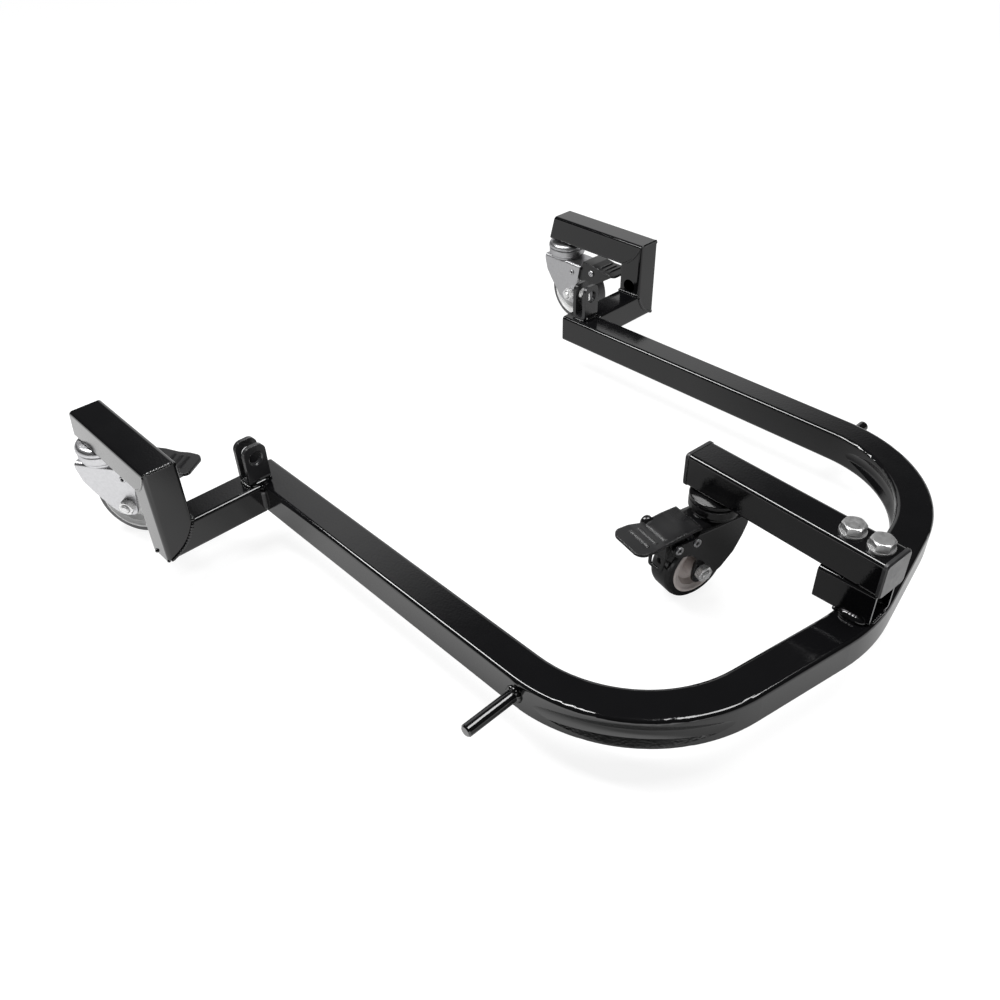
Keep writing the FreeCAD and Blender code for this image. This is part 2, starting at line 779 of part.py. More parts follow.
def fork_rivets(rivets, wheel_room):
    """Hollow rivets across the fork, parted in the middle where the wheel needs room."""
    pieces = []
    for place, height in rivets:
        start = Vector(place, -fork_outer_half, height)
        rivet = rod(rivet_radius, start, along, 2 * fork_outer_half)
        for side in (-1, 1):
            head_start = Vector(place, side * fork_outer_half, height)
            rivet = rivet.fuse(rod(rivet_head_radius, head_start, along * side, rivet_head_height))
        bore_reach = fork_outer_half + rivet_head_height + cut_overrun
        bore = rod(rivet_bore_radius, Vector(place, -bore_reach, height), along, 2 * bore_reach)
        rivet = rivet.cut(bore).removeSplitter()
        if wheel_room:
            start = Vector(place, -cheek_inner, height)
            rivet = rivet.cut(rod(rivet_head_radius, start, along, 2 * cheek_inner))
        pieces += rivet.Solids
    return Part.makeCompound(pieces)


def pedal_line(front, lift, shares):
    """Points of a pedal's upper face from its front edge to its tip."""
    length = pedal_reach - front
    return [(front + out * length, fork_top + lift - fall * pedal_dip) for out, fall in shares]


def pedal_height(line, place):
    """Height of a pedal's upper face at a place behind the kingpin."""
    for (start, high), (end, low) in zip(line, line[1:]):
        if place <= end:
            break
    return high + (low - high) * (place - start) / (end - start)


def pedal_sheet_solid(line, widths):
    """Sheet of a pedal, bent along its length and flared from its neck to its tip."""
    section = line + [(place, height - pedal_sheet) for place, height in reversed(line)]
    half_neck, half_tip = [width / 2 for width in widths]
    band = side_plate(section, [0] * len(section), -half_tip, half_tip)
    front = line[0][0]
    flare_start, flare_end = [front + share * (pedal_reach - front) for share in pedal_plan_shares]
    edge = [(front, half_neck), (flare_start, half_neck), (flare_end, half_tip), (pedal_reach, half_tip)]
    plan = edge + [(place, -half) for place, half in reversed(edge)]
    radii = [0, pedal_corner_radius, pedal_corner_radius, pedal_corner_radius]
    wire = rounded_wire([Vector(place, half, 0) for place, half in plan], radii + radii[::-1])
    return band.common(Part.Face(wire).extrude(up * caster_height))


def centre_cheeks(line, pivot):
    """Outline of the centre pedal's cheeks between the pivot and the sheet, with the radii of its corners."""
    place, height = pivot
    boss = pedal_boss_radius
    back = rear_rivet_place + pedal_cheek_back
    outline = [
        (place - boss, height - boss),
        (place + boss, height - boss),
        (back, pedal_height(line, back) - pedal_sheet / 2),
        (centre_cheek_front, pedal_height(line, centre_cheek_front) - pedal_sheet / 2),
        (centre_cheek_front, fork_underside - pedal_gap),
        (place - boss, height + boss),
    ]
    return outline, [boss, boss, 0, 0, 0, boss]


def side_cheeks(line, pivot):
    """Outline of a side pedal's deep skirts from the pivot to the tip, with the radii of its corners."""
    place, height = pivot
    boss = pedal_boss_radius
    front = line[0][0]
    tip = pedal_reach - skirt_tip_gap
    outline = [
        (place - boss, height - boss),
        (skirt_place, fork_top - skirt_depth),
        (tip, pedal_height(line, tip) - pedal_sheet / 2),
        (front, pedal_height(line, front) - pedal_sheet / 2),
        (front, fork_underside - pedal_gap),
        (place - boss, height + boss),
    ]
    return outline, [boss, boss, 0, 0, 0, boss]


def pedal(line, widths, cheeks, pivot):
    """Foot pedal with pressed ribs and two cheeks that hang on the pivot rivet."""
    shape = pedal_sheet_solid(line, widths)
    front = line[0][0]
    rib_half = pedal_rib_width_share * widths[0] / 2
    for share in pedal_rib_places_shares:
        place = front + share * (pedal_reach - front)
        start = Vector(place, -rib_half, pedal_height(line, place) - pedal_rib_sink)
        shape = shape.fuse(rod(pedal_rib_radius, start, along, 2 * rib_half))
    outline, radii = cheeks
    for side in (-1, 1):
        sides = sorted((side * cheek_outer, side * cheek_inner))
        shape = shape.fuse(side_plate(outline, radii, *sides))
    pivot_place, pivot_height = pivot
    hole_start = Vector(pivot_place, -fork_inner_half, pivot_height)
    hole = rod(rivet_radius + running_clearance, hole_start, along, 2 * fork_inner_half)
    return shape.cut(hole).removeSplitter()


def brake_shoe(line, brake_gap, pivot, wheel_radius):
    """Block under the pedal whose flat foot faces the tread, clear of the pivot rivet."""
    turn = math.radians(shoe_angle)
    distance = wheel_radius + brake_gap
    foot_place = caster_trail + distance * math.cos(turn)
    foot_height = wheel_radius + distance * math.sin(turn)
    step_place = shoe_half_length * math.sin(turn)
    step_height = shoe_half_length * math.cos(turn)
    front = foot_place - step_place
    low = foot_place + step_place
    back = low + shoe_tail
    outline = [
        (front, foot_height + step_height),
        (low, foot_height - step_height),
        (back, foot_height + step_height),
        (back, pedal_height(line, back) - pedal_sheet),
        (front, pedal_height(line, front) - pedal_sheet),
    ]
    half = wheel_width / 2 - shoe_side_gap
    block = side_plate(outline, [0] * len(outline), -half, half)
    pivot_place, pivot_height = pivot
    hole_start = Vector(pivot_place, -half - cut_overrun, pivot_height)
    return block.cut(rod(rivet_radius + side_clearance, hole_start, along, 2 * (half + cut_overrun)))


def caster(name):
    """Pieces of one caster in its own place, by node name."""
    wheel_radius = wheel_radii[name]
    if name == "centre":
        front_rivet = (front_rivet_place, fork_underside - front_rivet_drop)
        pivot = (rear_rivet_place, fork_underside - rear_rivet_drop)
        rivets = [front_rivet, pivot]
        brake_gap = centre_brake_gap
        line = pedal_line(centre_fork_back + pedal_gap, centre_pedal_lift, centre_fall_shares)
        foot = pedal(line, (centre_neck_width, centre_tip_width), centre_cheeks(line, pivot), pivot)
        shares = centre_fork_outline_shares
        top_front = centre_fork_top_front_share * centre_fork_reach
        outline = fork_outline(shares, centre_fork_reach, top_front, centre_fork_back, wheel_radius)
        bend_radius = centre_fork_bend_radius
    else:
        pivot = (side_rivet_place, fork_underside - side_rivet_drop)
        rivets = [pivot]
        brake_gap = side_brake_gap
        line = pedal_line(side_fork_back + pedal_gap, side_pedal_lift, side_fall_shares)
        foot = pedal(line, (2 * cheek_outer, side_tip_width), side_cheeks(line, pivot), pivot)
        shares = side_fork_outline_shares
        outline = fork_outline(shares, side_fork_reach, side_fork_reach, side_fork_back, wheel_radius)
        bend_radius = side_fork_bend_radius
    pieces = {
        "kingpin": kingpin(mount_heights[name]),
        "upper_dish": upper_dish(),
        "thrust_ring": thrust_ring(),
        "fork": fork(outline, bend_radius, rivets, wheel_radius),
        "fork_rivets": fork_rivets(rivets, name != "centre"),
        "pedal": foot,
        "brake_shoe": brake_shoe(line, brake_gap, pivot, wheel_radius),
        "tyre": tyre(wheel_radius),
        "wheel_core": wheel_core(wheel_radius),
        "axle_bush": axle_bush(wheel_radius),
        "axle_bolt": axle_bolt(nut_sides[name], wheel_radius),
        "axle_nut": axle_nut(nut_sides[name], wheel_radius),
    }
    placed = {}
    for piece, shape in pieces.items():
        placed[name + "_" + piece] = moved(shape, kingpin_places[name], caster_angles[name])
    return placed


def dolly():
    """All pieces of the dolly by node name."""
    pieces = {
        "u_frame": u_frame(),
        "left_clevis": seated_clevis(-1, left_clevis_inset),
        "right_clevis": seated_clevis(1, right_clevis_inset),
        "left_lever_pin": mirrored(lever_pin(left_lever_pin_length)),
        "right_lever_pin": lever_pin(right_lever_pin_length),
        "riser": riser(),
        "centre_arm": centre_arm(),
        "near_arm_cap": near_arm_cap(),
        "far_arm_cap": far_arm_cap(),
        "clamp_bolts": clamp_bolts(),
        "clamp_washers": clamp_washers(),
        "clamp_nuts": clamp_nuts(),
        "kingpin_nuts": kingpin_nuts(),
        "level_washers": level_washers(),
    }
    for make in (arm_end_plate, cross_tube, upright, top_tube, top_tube_end):
        shape = make()
        pieces["right_" + make.__name__] = shape
        pieces["left_" + make.__name__] = mirrored(shape)
    for name in kingpin_places:
        pieces.update(caster(name))
    return pieces


os.makedirs("parts", exist_ok=True)
for node, shape in dolly().items():
    shape.exportStep("parts/" + node + ".step")
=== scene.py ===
import json
import math
import random

import bmesh
import bpy
from bpy.props import FloatProperty, FloatVectorProperty, IntProperty, PointerProperty
from mathutils import Euler, Matrix, Vector


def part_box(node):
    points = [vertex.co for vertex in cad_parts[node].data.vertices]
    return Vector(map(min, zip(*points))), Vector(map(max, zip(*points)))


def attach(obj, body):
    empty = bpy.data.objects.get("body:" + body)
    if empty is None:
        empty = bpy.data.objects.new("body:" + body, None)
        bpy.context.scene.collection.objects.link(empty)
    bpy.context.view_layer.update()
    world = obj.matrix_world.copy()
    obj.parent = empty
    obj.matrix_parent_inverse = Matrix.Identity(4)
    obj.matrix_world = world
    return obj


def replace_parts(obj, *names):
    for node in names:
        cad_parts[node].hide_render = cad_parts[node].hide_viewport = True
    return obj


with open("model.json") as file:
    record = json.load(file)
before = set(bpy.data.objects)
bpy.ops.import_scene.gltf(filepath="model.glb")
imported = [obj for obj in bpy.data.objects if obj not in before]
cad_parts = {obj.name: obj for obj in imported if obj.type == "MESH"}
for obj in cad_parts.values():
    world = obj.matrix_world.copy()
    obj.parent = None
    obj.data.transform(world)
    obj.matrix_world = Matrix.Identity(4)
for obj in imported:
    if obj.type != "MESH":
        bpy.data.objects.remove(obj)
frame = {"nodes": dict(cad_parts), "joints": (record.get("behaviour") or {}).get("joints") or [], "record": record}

bl_info = {
    "name": "Motorcycle Mover Dolly",
    "version": (1, 0, 0),
    "blender": (4, 5, 0),
    "location": "3D View > Sidebar > Dolly",
    "description": "Finishes, welds and fasteners of a motorcycle mover dolly",
    "category": "Object",
}

MM = 0.001
CASTERS = ("left", "right", "centre")
SIDES = ("left", "right")
UP = Vector((0, 0, 1))
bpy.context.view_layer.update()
nodes = frame["nodes"]
joints = {joint["name"]: joint for joint in frame["joints"]}
slots = {row["node"]: row["material_slot"] for row in frame["record"]["subparts"]}


def length(name, description, millimetres):
    """Length property with a default in millimetres."""
    return FloatProperty(name=name, description=description, default=millimetres * MM,
                         unit="LENGTH", precision=5)


def number(name, description, value):
    """Plain number property."""
    return FloatProperty(name=name, description=description, default=value)


def colour(name, description, value):
    """Colour property."""
    return FloatVectorProperty(name=name, description=description, default=value, subtype="COLOR", size=3)


class DollyFinishes(bpy.types.PropertyGroup):
    """Colours of the finishes."""
    powder_coat: colour("Powder coat", "Gloss black of the frame", (0.0034, 0.0034, 0.0038))
    # Painted reflection: this greyer black stands in for the lighter reflections on the clevises' ears.
    clevis_coat: colour("Clevis coat", "Greyer black of the cast clevises", (0.017, 0.017, 0.018))
    e_coat: colour("E-coat", "Satin black of the centre fork and the pedals", (0.0048, 0.0048, 0.0052))
    zinc: colour("Zinc plate", "Plated steel of the side forks", (0.50, 0.50, 0.51))
    bolt_zinc: colour("Bolt zinc", "Duller plating of the bolts, nuts and washers", (0.42, 0.42, 0.42))
    # Painted light: the axle fasteners' plating is made brighter than the other zinc to stand in for the bright
    # reflections on their faces.
    axle_zinc: colour("Axle zinc", "Bright plating of the axle bolts and their nuts", (0.78, 0.78, 0.78))
    cap_plastic: colour("Cap plastic", "Matt black of the arm's end caps", (0.014, 0.014, 0.015))
    # Painted light: the caps' end faces are made grey to stand in for the light that falls on them; only their
    # grain is their own.
    cap_face_painted_light: colour("Cap face", "Chalky grey of the caps' grained end faces", (0.185, 0.185, 0.188))
    shoe_plastic: colour("Shoe plastic", "Matt black of the brake shoes", (0.020, 0.020, 0.020))
    side_tread: colour("Side tread", "Dark grey tread of the side wheels", (0.085, 0.085, 0.088))
    centre_tread: colour("Centre tread", "Black tread of the centre wheel", (0.010, 0.010, 0.010))
    side_core: colour("Side core", "Pale grey core of the side wheels", (0.84, 0.84, 0.83))
    centre_core: colour("Centre core", "Taupe core of the centre wheel", (0.52, 0.47, 0.45))


class DollyWelds(bpy.types.PropertyGroup):
    """Sizes of the weld beads."""
    fillet: length("Fillet", "Radius of a bead in an inner corner", 2.6)
    foot: length("Foot", "Radius of the heavy beads where the outriggers meet the arms", 3.9)
    seam: length("Seam", "Radius of a bead along a mitre", 0.8)
    drop: length("Drop", "Radius of a drop of weld at a corner", 2.2)
    ripple: length("Ripple", "Spacing of a bead's ripples", 2.6)
    ripple_share: number("Ripple depth", "Depth of a ripple over the radius", 0.16)
    calm_share: number("Calm ripple depth", "Same of a smoothly run bead", 0.015)
    bow_share: number("Bow", "How far a lower mitre's seam bows over the tube", 0.13)
    sides: IntProperty(name="Sides", description="Sides of a bead's section", default=12)
    seed: IntProperty(name="Seed", description="Start of the beads' unevenness", default=7)


class DollyFasteners(bpy.types.PropertyGroup):
    """Sizes of what the bolts, nuts and rivets show."""
    chamfer_share: number("Chamfer", "Flat top of a hexagon over its flats", 0.92)
    chamfer_angle: FloatProperty(name="Chamfer angle", description="Slope of a hexagon's chamfer",
                                 default=math.radians(28), subtype="ANGLE")
    thread_pitch: length("Thread pitch", "Pitch of the axle bolts' threads", 1.25)
    rivet_head: length("Rivet head", "Radius of a rivet's rolled head", 3.9)
    rivet_bore: length("Rivet bore", "Radius of the hole in a rivet", 1.7)
    rivet_shank: length("Rivet shank", "Radius of a rivet under its head", 2.9)


class DollyWheels(bpy.types.PropertyGroup):
    """Sizes of the swivel dishes and of the rings at the wheels' sides."""
    dish_swell: length("Dish swell", "How far the rounded dish stands out past the plain one", 0.6)
    dish_skirt: length("Dish skirt", "How far the dish's rim reaches below the plain one", 1.0)
    dish_wall: length("Dish wall", "Thickness of the dish", 1.6)
    dish_bore: length("Dish bore", "Radius of the hole in the dish", 5.2)
    dish_round: length("Dish round", "Width of the dish's rounded shoulder", 5.5)
    ring_lap: length("Ring lap", "How far a ring laps over the tyre's side", 3.6)
    ring_step: length("Ring step", "Place of the ring's step outside the core", 0.6)
    ring_slope: length("Ring slope", "Reach of the ring's slope inside the core's radius", 3.8)
    ring_proud: length("Ring proud", "How far a ring stands out of the tyre's side", 0.35)


class DollyBrakes(bpy.types.PropertyGroup):
    """Places and sizes of the brakes' small pieces, from the kingpin towards the pedal."""
    pin_ahead: length("Pin ahead", "Place of a side pedal's spring pin", 55.0)
    pin_height: length("Pin height", "Height of that pin", 72.0)
    stud_ahead: length("Stud ahead", "Place of the stud on the centre pedal's far cheek", 56.0)
    stud_height: length("Stud height", "Height of that stud", 74.6)
    stud_radius: length("Stud radius", "Radius of that stud", 5.4)
    holder_ahead: length("Holder ahead", "Place of the centre shoe holder's lower edge", 58.8)
    holder_lean: length("Holder lean", "How far the holder leans back at its top", 3.5)
    holder_low: length("Holder low", "Height of the holder's lower edge", 37.6)
    holder_high: length("Holder high", "Height of the holder's upper edge", 68.0)
    holder_foot: length("Holder foot", "Half width of the holder at its lower edge", 8.5)
    holder_top: length("Holder top", "Half width of the holder at its upper edge", 11.8)
    holder_sheet: length("Holder sheet", "Thickness of the holder", 1.4)


class DollyStage(bpy.types.PropertyGroup):
    """Camera, floor and lights."""
    camera_place: FloatVectorProperty(name="Camera", description="Where the camera stands", size=3,
                                      default=(-0.5233343, -0.4768154, 0.5606482),
                                      subtype="TRANSLATION", precision=6)
    camera_turn: FloatVectorProperty(name="Camera turn", description="How the camera is turned", size=3,
                                     default=[math.radians(a) for a in (52.18163, 1.49430, -43.70888)],
                                     subtype="EULER")
    camera_lens: number("Lens", "Focal length in millimetres", 33.823)
    floor_size: FloatProperty(name="Floor", description="Side of the floor", default=14.0, unit="LENGTH")
    floor_glow: number("Floor glow", "White of the floor near the dolly", 0.88)
    far_glow: number("Far glow", "White of the floor far from the dolly", 0.97)
    shade_glow: number("Shade glow", "What shiny paint mirrors of the shaded floor", 0.02)
    fill_glow: number("Fill glow", "Light that the floor throws back on dull surfaces", 0.70)
    open_glow: number("Open glow", "What shiny paint mirrors of the open floor", 0.46)
    left_glow: number("Left glow", "What the brighter floor on the left adds to that", 0.34)
    corner_glow: number("Corner glow", "What the floor at the front left adds to that", 0.75)
    front_glow: number("Front glow", "What the brighter floor in front adds to that", 0.25)
    shade_place: FloatVectorProperty(name="Shade", description="Middle of the shaded floor", size=3,
                                     default=(-0.05, -0.14, 0.0), subtype="TRANSLATION")
    back_power: number("Back light", "Power of the strip light at the back left in watts", 30.0)
    front_power: number("Front light", "Power of the light over the front in watts", 16.0)


def finishes():
    """Colours of the finishes, as set on the scene."""
    return bpy.context.scene.dolly_finishes


def welding():
    """Sizes of the weld beads, as set on the scene."""
    return bpy.context.scene.dolly_welds


def fastening():
    """Sizes of the fasteners, as set on the scene."""
    return bpy.context.scene.dolly_fasteners


# Materials

class Nodes:
    """Node tree, with short calls for the nodes that the finishes and the stage share."""

    def __init__(self, tree):
        self.tree = tree

    def new(self, kind, operation=None):
        """New node, with its operation where it has one."""
        node = self.tree.nodes.new(kind)
        if operation:
            node.operation = operation
        return node

    def link(self, output, target):
        """Join an output to an input."""
        self.tree.links.new(output, target)

    def ramp(self, source, low, high, start, end):
        """Value that runs from start to end while the source runs from low to high."""
        node = self.new("ShaderNodeMapRange")
        for socket, value in zip(("From Min", "From Max", "To Min", "To Max"), (low, high, start, end)):
            node.inputs[socket].default_value = value
        self.link(source, node.inputs["Value"])
        return node.outputs["Result"]

    def add(self, first, second):
        """Sum of two values."""
        return self.both("ADD", first, second)

    def times(self, first, second):
        """Product of two values."""
        return self.both("MULTIPLY", first, second)

    def both(self, operation, first, second):
        """What an operation makes of two values."""
        node = self.new("ShaderNodeMath", operation)
        self.link(first, node.inputs[0])
        self.link(second, node.inputs[1])
        return node.outputs[0]

    def against(self, operation, source, fixed):
        """What an operation makes of a vector and a fixed one."""
        node = self.new("ShaderNodeVectorMath", operation)
        node.inputs[1].default_value = fixed
        self.link(source, node.inputs[0])
        return node.outputs["Value"]

    def parts(self, source):
        """X, Y and Z of a vector."""
        node = self.new("ShaderNodeSeparateXYZ")
        self.link(source, node.inputs["Vector"])
        return node.outputs


class Shader(Nodes):
    """Node tree of one material, with the textures of its surface."""

    def __init__(self, name):
        self.material = bpy.data.materials.new(name)
        self.material.use_nodes = True
        super().__init__(self.material.node_tree)
        self.surface = self.tree.nodes["Principled BSDF"]
        coordinates = self.new("ShaderNodeTexCoord")
        self.place = coordinates.outputs["Object"]
        self.normal = coordinates.outputs["Normal"]

    def noise(self, scale, detail=4.0, roughness=0.55, place=None):
        """Noise over the surface."""
        node = self.new("ShaderNodeTexNoise")
        node.inputs["Scale"].default_value = scale
        node.inputs["Detail"].default_value = detail
        node.inputs["Roughness"].default_value = roughness
        self.link(place or self.place, node.inputs["Vector"])
        return node.outputs["Fac"]

    def stretched(self, factors):
        """Places stretched along the axes, for streaks."""
        node = self.new("ShaderNodeMapping")
        node.inputs["Scale"].default_value = factors
        self.link(self.place, node.inputs["Vector"])
        return node.outputs["Vector"]

    def mix(self, factor, first, second):
        """Colour between two colours."""
        node = self.new("ShaderNodeMix")
        node.data_type = "RGBA"
        self.link(factor, node.inputs["Factor"])
        for socket, value in ((node.inputs[6], first), (node.inputs[7], second)):
            if isinstance(value, bpy.types.NodeSocket):
                self.link(value, socket)
            else:
                socket.default_value = (*value, 1)
        return node.outputs[2]

    def distance(self, place):
        """Distance of a point of the surface from a place."""
        return self.against("DISTANCE", self.place, place)

    def facing(self, direction, low, high):
        """Value that runs from 0 to 1 as the surface turns along a direction, either way."""
        size = self.new("ShaderNodeMath", "ABSOLUTE")
        self.link(self.against("DOT_PRODUCT", self.normal, direction.normalized()), size.inputs[0])
        return self.ramp(size.outputs[0], low, high, 0.0, 1.0)

    def bump(self, height, depth, edge=0.0):
        """Uneven surface, with edges rounded off by a small radius where one is given."""
        node = self.new("ShaderNodeBump")
        node.inputs["Distance"].default_value = depth
        self.link(height, node.inputs["Height"])
        self.link(node.outputs["Normal"], self.surface.inputs["Normal"])
        if edge:
            bevel = self.new("ShaderNodeBevel")
            bevel.inputs["Radius"].default_value = edge
            self.link(bevel.outputs["Normal"], node.inputs["Normal"])


def scaled(value, factor):
    """Colour made lighter or darker."""
    return tuple(min(1.0, part * factor) for part in value)


def coat_finish(name, base, roughness, peel, peel_depth, edge=0.0):
    """Paint on steel: uneven black, orange peel, fine dust and a few scuffs."""
    shader = Shader(name)
    cloud = shader.noise(22, 3)
    dust = shader.ramp(shader.noise(1900, 2, 0.7), 0.66, 0.80, 0.0, 0.35)
    scuff = shader.ramp(shader.noise(60, 6, 0.75, shader.stretched((1, 6, 1))), 0.66, 0.78, 0.0, 0.30)
    body = shader.mix(cloud, scaled(base, 0.8), scaled(base, 1.25))
    dusty = shader.mix(dust, body, scaled(base, 3.0))
    shader.link(shader.mix(scuff, dusty, scaled(base, 2.2)), shader.surface.inputs["Base Color"])
    sheen = shader.ramp(shader.noise(35, 4), 0.3, 0.7, roughness * 0.8, roughness * 1.25)
    shader.link(shader.add(sheen, shader.ramp(scuff, 0, 1, 0, 0.25)), shader.surface.inputs["Roughness"])
    shader.surface.inputs["IOR"].default_value = 1.52
    shader.bump(shader.noise(peel, 2, 0.4), peel_depth, edge)
    return shader.material


def zinc_finish(name, base, roughness, grain_depth, metallic):
    """Zinc plating: soft spangle, drawn streaks and dull patches."""
    shader = Shader(name)
    spangle = shader.ramp(shader.noise(420, 3), 0.3, 0.7, 0.0, 1.0)
    body = shader.mix(spangle, scaled(base, 0.95), scaled(base, 1.06))
    stain = shader.ramp(shader.noise(90, 5, 0.7), 0.58, 0.75, 0.0, 0.5)
    shader.link(shader.mix(stain, body, scaled(base, 0.86)), shader.surface.inputs["Base Color"])
    streak = shader.noise(300, 3, 0.6, shader.stretched((1, 1, 7)))
    sheen = shader.ramp(streak, 0.25, 0.75, roughness * 0.75, roughness * 1.25)
    shader.link(sheen, shader.surface.inputs["Roughness"])
    shader.surface.inputs["Metallic"].default_value = metallic
    shader.surface.inputs["Specular Tint"].default_value = (*scaled(base, 1.3), 1)
    shader.bump(shader.noise(700, 4, 0.6), grain_depth, 0.4 * MM)
    return shader.material


def moulded(name, base, roughness, grain, grain_depth):
    """Shader and colour of moulded plastic or rubber: fine grain, mould bloom and rubbed patches."""
    shader = Shader(name)
    bloom = shader.noise(70, 5, 0.65)
    body = shader.mix(bloom, scaled(base, 0.78), scaled(base, 1.25))
    rubbed = shader.ramp(shader.noise(260, 4, 0.7), 0.60, 0.78, 0.0, 0.6)
    sheen = shader.ramp(bloom, 0.3, 0.7, roughness * 0.85, roughness * 1.15)
    shader.link(sheen, shader.surface.inputs["Roughness"])
    shader.bump(shader.noise(grain, 3, 0.6), grain_depth)
    return shader, shader.mix(rubbed, body, scaled(base, 1.7))


def moulded_finish(name, base, roughness, grain, grain_depth):
    """Moulded plastic or rubber of one colour."""
    shader, body = moulded(name, base, roughness, grain, grain_depth)
    shader.link(body, shader.surface.inputs["Base Color"])
    return shader.material


def cap_finish(name, base, roughness, grain, grain_depth):
    """Black plastic whose end faces carry painted light: a grey, grained mottle that stands in for the light
    falling on them.
    """
    shader, body = moulded(name, base, roughness, grain, grain_depth)
    # Painted light: faces turned along the arm get a mottled grey in place of the light that falls on them.
    face = shader.facing(box_middle("near_arm_cap") - box_middle("far_arm_cap"), 0.90, 0.97)
    cap_face_painted_light = finishes().cap_face_painted_light
    painted_light_mottle = shader.mix(shader.noise(160, 6, 0.75), scaled(cap_face_painted_light, 0.45), scaled(cap_face_painted_light, 1.6))
    shader.link(shader.mix(face, body, painted_light_mottle), shader.surface.inputs["Base Color"])
    return shader.material


def coat(base, roughness, peel, peel_depth, edge=0.0):
    """Settings of a paint: its colour, its orange peel and how far edges are rounded, in millimetres."""
    sizes = dict(roughness=roughness, peel=peel, peel_depth=peel_depth * MM, edge=edge * MM)
    return coat_finish, base, sizes


def zinc(base, roughness, grain_depth, metallic=1.0):
    """Settings of a zinc plating, with the depth of its grain in millimetres."""
    return zinc_finish, base, dict(roughness=roughness, grain_depth=grain_depth * MM, metallic=metallic)


def mould(base, roughness, grain, grain_depth, make=moulded_finish):
    """Settings of a plastic or rubber, with the depth of its grain in millimetres."""
    return make, base, dict(roughness=roughness, grain=grain, grain_depth=grain_depth * MM)


FINISHES = {
    "powder_coat": coat("powder_coat", 0.10, 620, 0.03),
    # The clevises' greyer black is a painted reflection.
    "clevis_coat": coat("clevis_coat", 0.22, 500, 0.05, 0.6),
    "e_coat": coat("e_coat", 0.17, 900, 0.03, 1.0),
    "pedal_coat": coat("e_coat", 0.30, 900, 0.03, 2.0),
    "bright_zinc": zinc("zinc", 0.36, 0.02),
    "bolt_zinc": zinc("bolt_zinc", 0.34, 0.09, 0.9),
    # Brighter, less metallic copy of the plating: painted light on the axle bolts and nuts.
    "axle_zinc": zinc("axle_zinc", 0.28, 0.04, 0.55),
    "cap_plastic": mould("cap_plastic", 0.42, 1600, 0.06, cap_finish),
    "shoe_black": mould("shoe_plastic", 0.5, 1400, 0.08),
    "side_tread": mould("side_tread", 0.48, 1100, 0.06),
    "centre_tread": mould("centre_tread", 0.18, 1100, 0.03),
    "side_core": mould("side_core", 0.45, 1500, 0.04),
    "centre_core": mould("centre_core", 0.40, 1500, 0.04),
}
SLOT_FINISHES = {
    "black_powder_coat": "powder_coat",
    "black_e_coat": "e_coat",
    "zinc_plate": "bright_zinc",
    "black_plastic": "cap_plastic",
    "shoe_plastic": "shoe_black",
}


def finish(name):
    """The material of a finish, made once."""
    material = bpy.data.materials.get(name)
    if material is None:
        make, base, sizes = FINISHES[name]
        material = make(name, getattr(finishes(), base), **sizes)
    return material


def node_finish(node):
    """A node's finish by its slot. Wheels differ at the sides and in the centre, and fasteners are duller."""
    place = "centre" if node.startswith("centre_") else "side"
    if node.endswith(("bolts", "washers", "nuts")):
        return "bolt_zinc"
    if node.endswith("_clevis"):
        return "clevis_coat"
    if node.endswith("_pedal"):
        return "pedal_coat"
    if slots[node] == "tread":
        return place + "_tread"
    if slots[node] == "core_plastic":
        return place + "_core"
    return SLOT_FINISHES[slots[node]]


def dress(node):
    """Give a node its finish."""
    mesh = nodes[node].data
    mesh.materials.clear()
    mesh.materials.append(finish(node_finish(node)))


# Meshes

def piece(name, vertices, faces, body, slot, coating, smooth=True):
    """New piece of the object that rides on a body and takes the finish named by its coating; the slot argument is
    not used.
    """
    mesh = bpy.data.meshes.new(name)
    mesh.from_pydata([tuple(v) for v in vertices], [], faces)
    mesh.validate()
    shape = bmesh.new()
    shape.from_mesh(mesh)
    bmesh.ops.recalc_face_normals(shape, faces=shape.faces)
    shape.to_mesh(mesh)
    shape.free()
    mesh.polygons.foreach_set("use_smooth", [smooth] * len(mesh.polygons))
    mesh.materials.append(finish(coating))
    thing = bpy.data.objects.new(name, mesh)
    bpy.context.scene.collection.objects.link(thing)
    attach(thing, body)
    return thing


def joined(*parts):
    """One list of vertices and one of faces from several."""
    vertices, faces = [], []
    for some_vertices, some_faces in parts:
        start = len(vertices)
        vertices += some_vertices
        faces += [[index + start for index in face] for face in some_faces]
    return vertices, faces


def rings(sections, closed=False):
    """Skin over rings of equal counts, with a cap at both ends unless it is closed."""
    count = len(sections[0])
    vertices = [point for section in sections for point in section]
    faces = []
    spans = len(sections) if closed else len(sections) - 1
    for row in range(spans):
        here = row * count
        there = (row + 1) % len(sections) * count
        for column in range(count):
            beside = (column + 1) % count
            faces.append([here + column, here + beside, there + beside, there + column])
    if not closed:
        faces.append(list(range(count))[::-1])
        faces.append([len(vertices) - count + column for column in range(count)])
    return vertices, faces


def standing(axis, ahead):
    """Rotation that takes Z to an axis and X towards a direction."""
    z = Vector(axis).normalized()
    x = (Vector(ahead) - z * z.dot(Vector(ahead))).normalized()
    return Matrix((x, z.cross(x), z)).transposed()


def placed(mesh, place, turn):
    """Vertices turned and carried to a place."""
    vertices, faces = mesh
    return [turn @ Vector(v) + place for v in vertices], faces


def lathe(profile, steps=48):
    """Closed profile of (radius, height) points turned about Z."""
    sections = []
    for step in range(steps):
        angle = 2 * math.pi * step / steps
        sections.append([Vector((r * math.cos(angle), r * math.sin(angle), h)) for r, h in profile])
    return rings(sections, closed=True)


def box_middle(node):
    """Middle of a node's box."""
    low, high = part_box(node)
    return (low + high) / 2


# Weld beads

def spaced(points, spacing):
    """Points at an even spacing along straight runs."""
    steps = []
    for start, end in zip(points, points[1:]):
        count = max(1, round((end - start).length / spacing))
        steps += [start.lerp(end, step / count) for step in range(count)]
    return steps + [points[-1]]


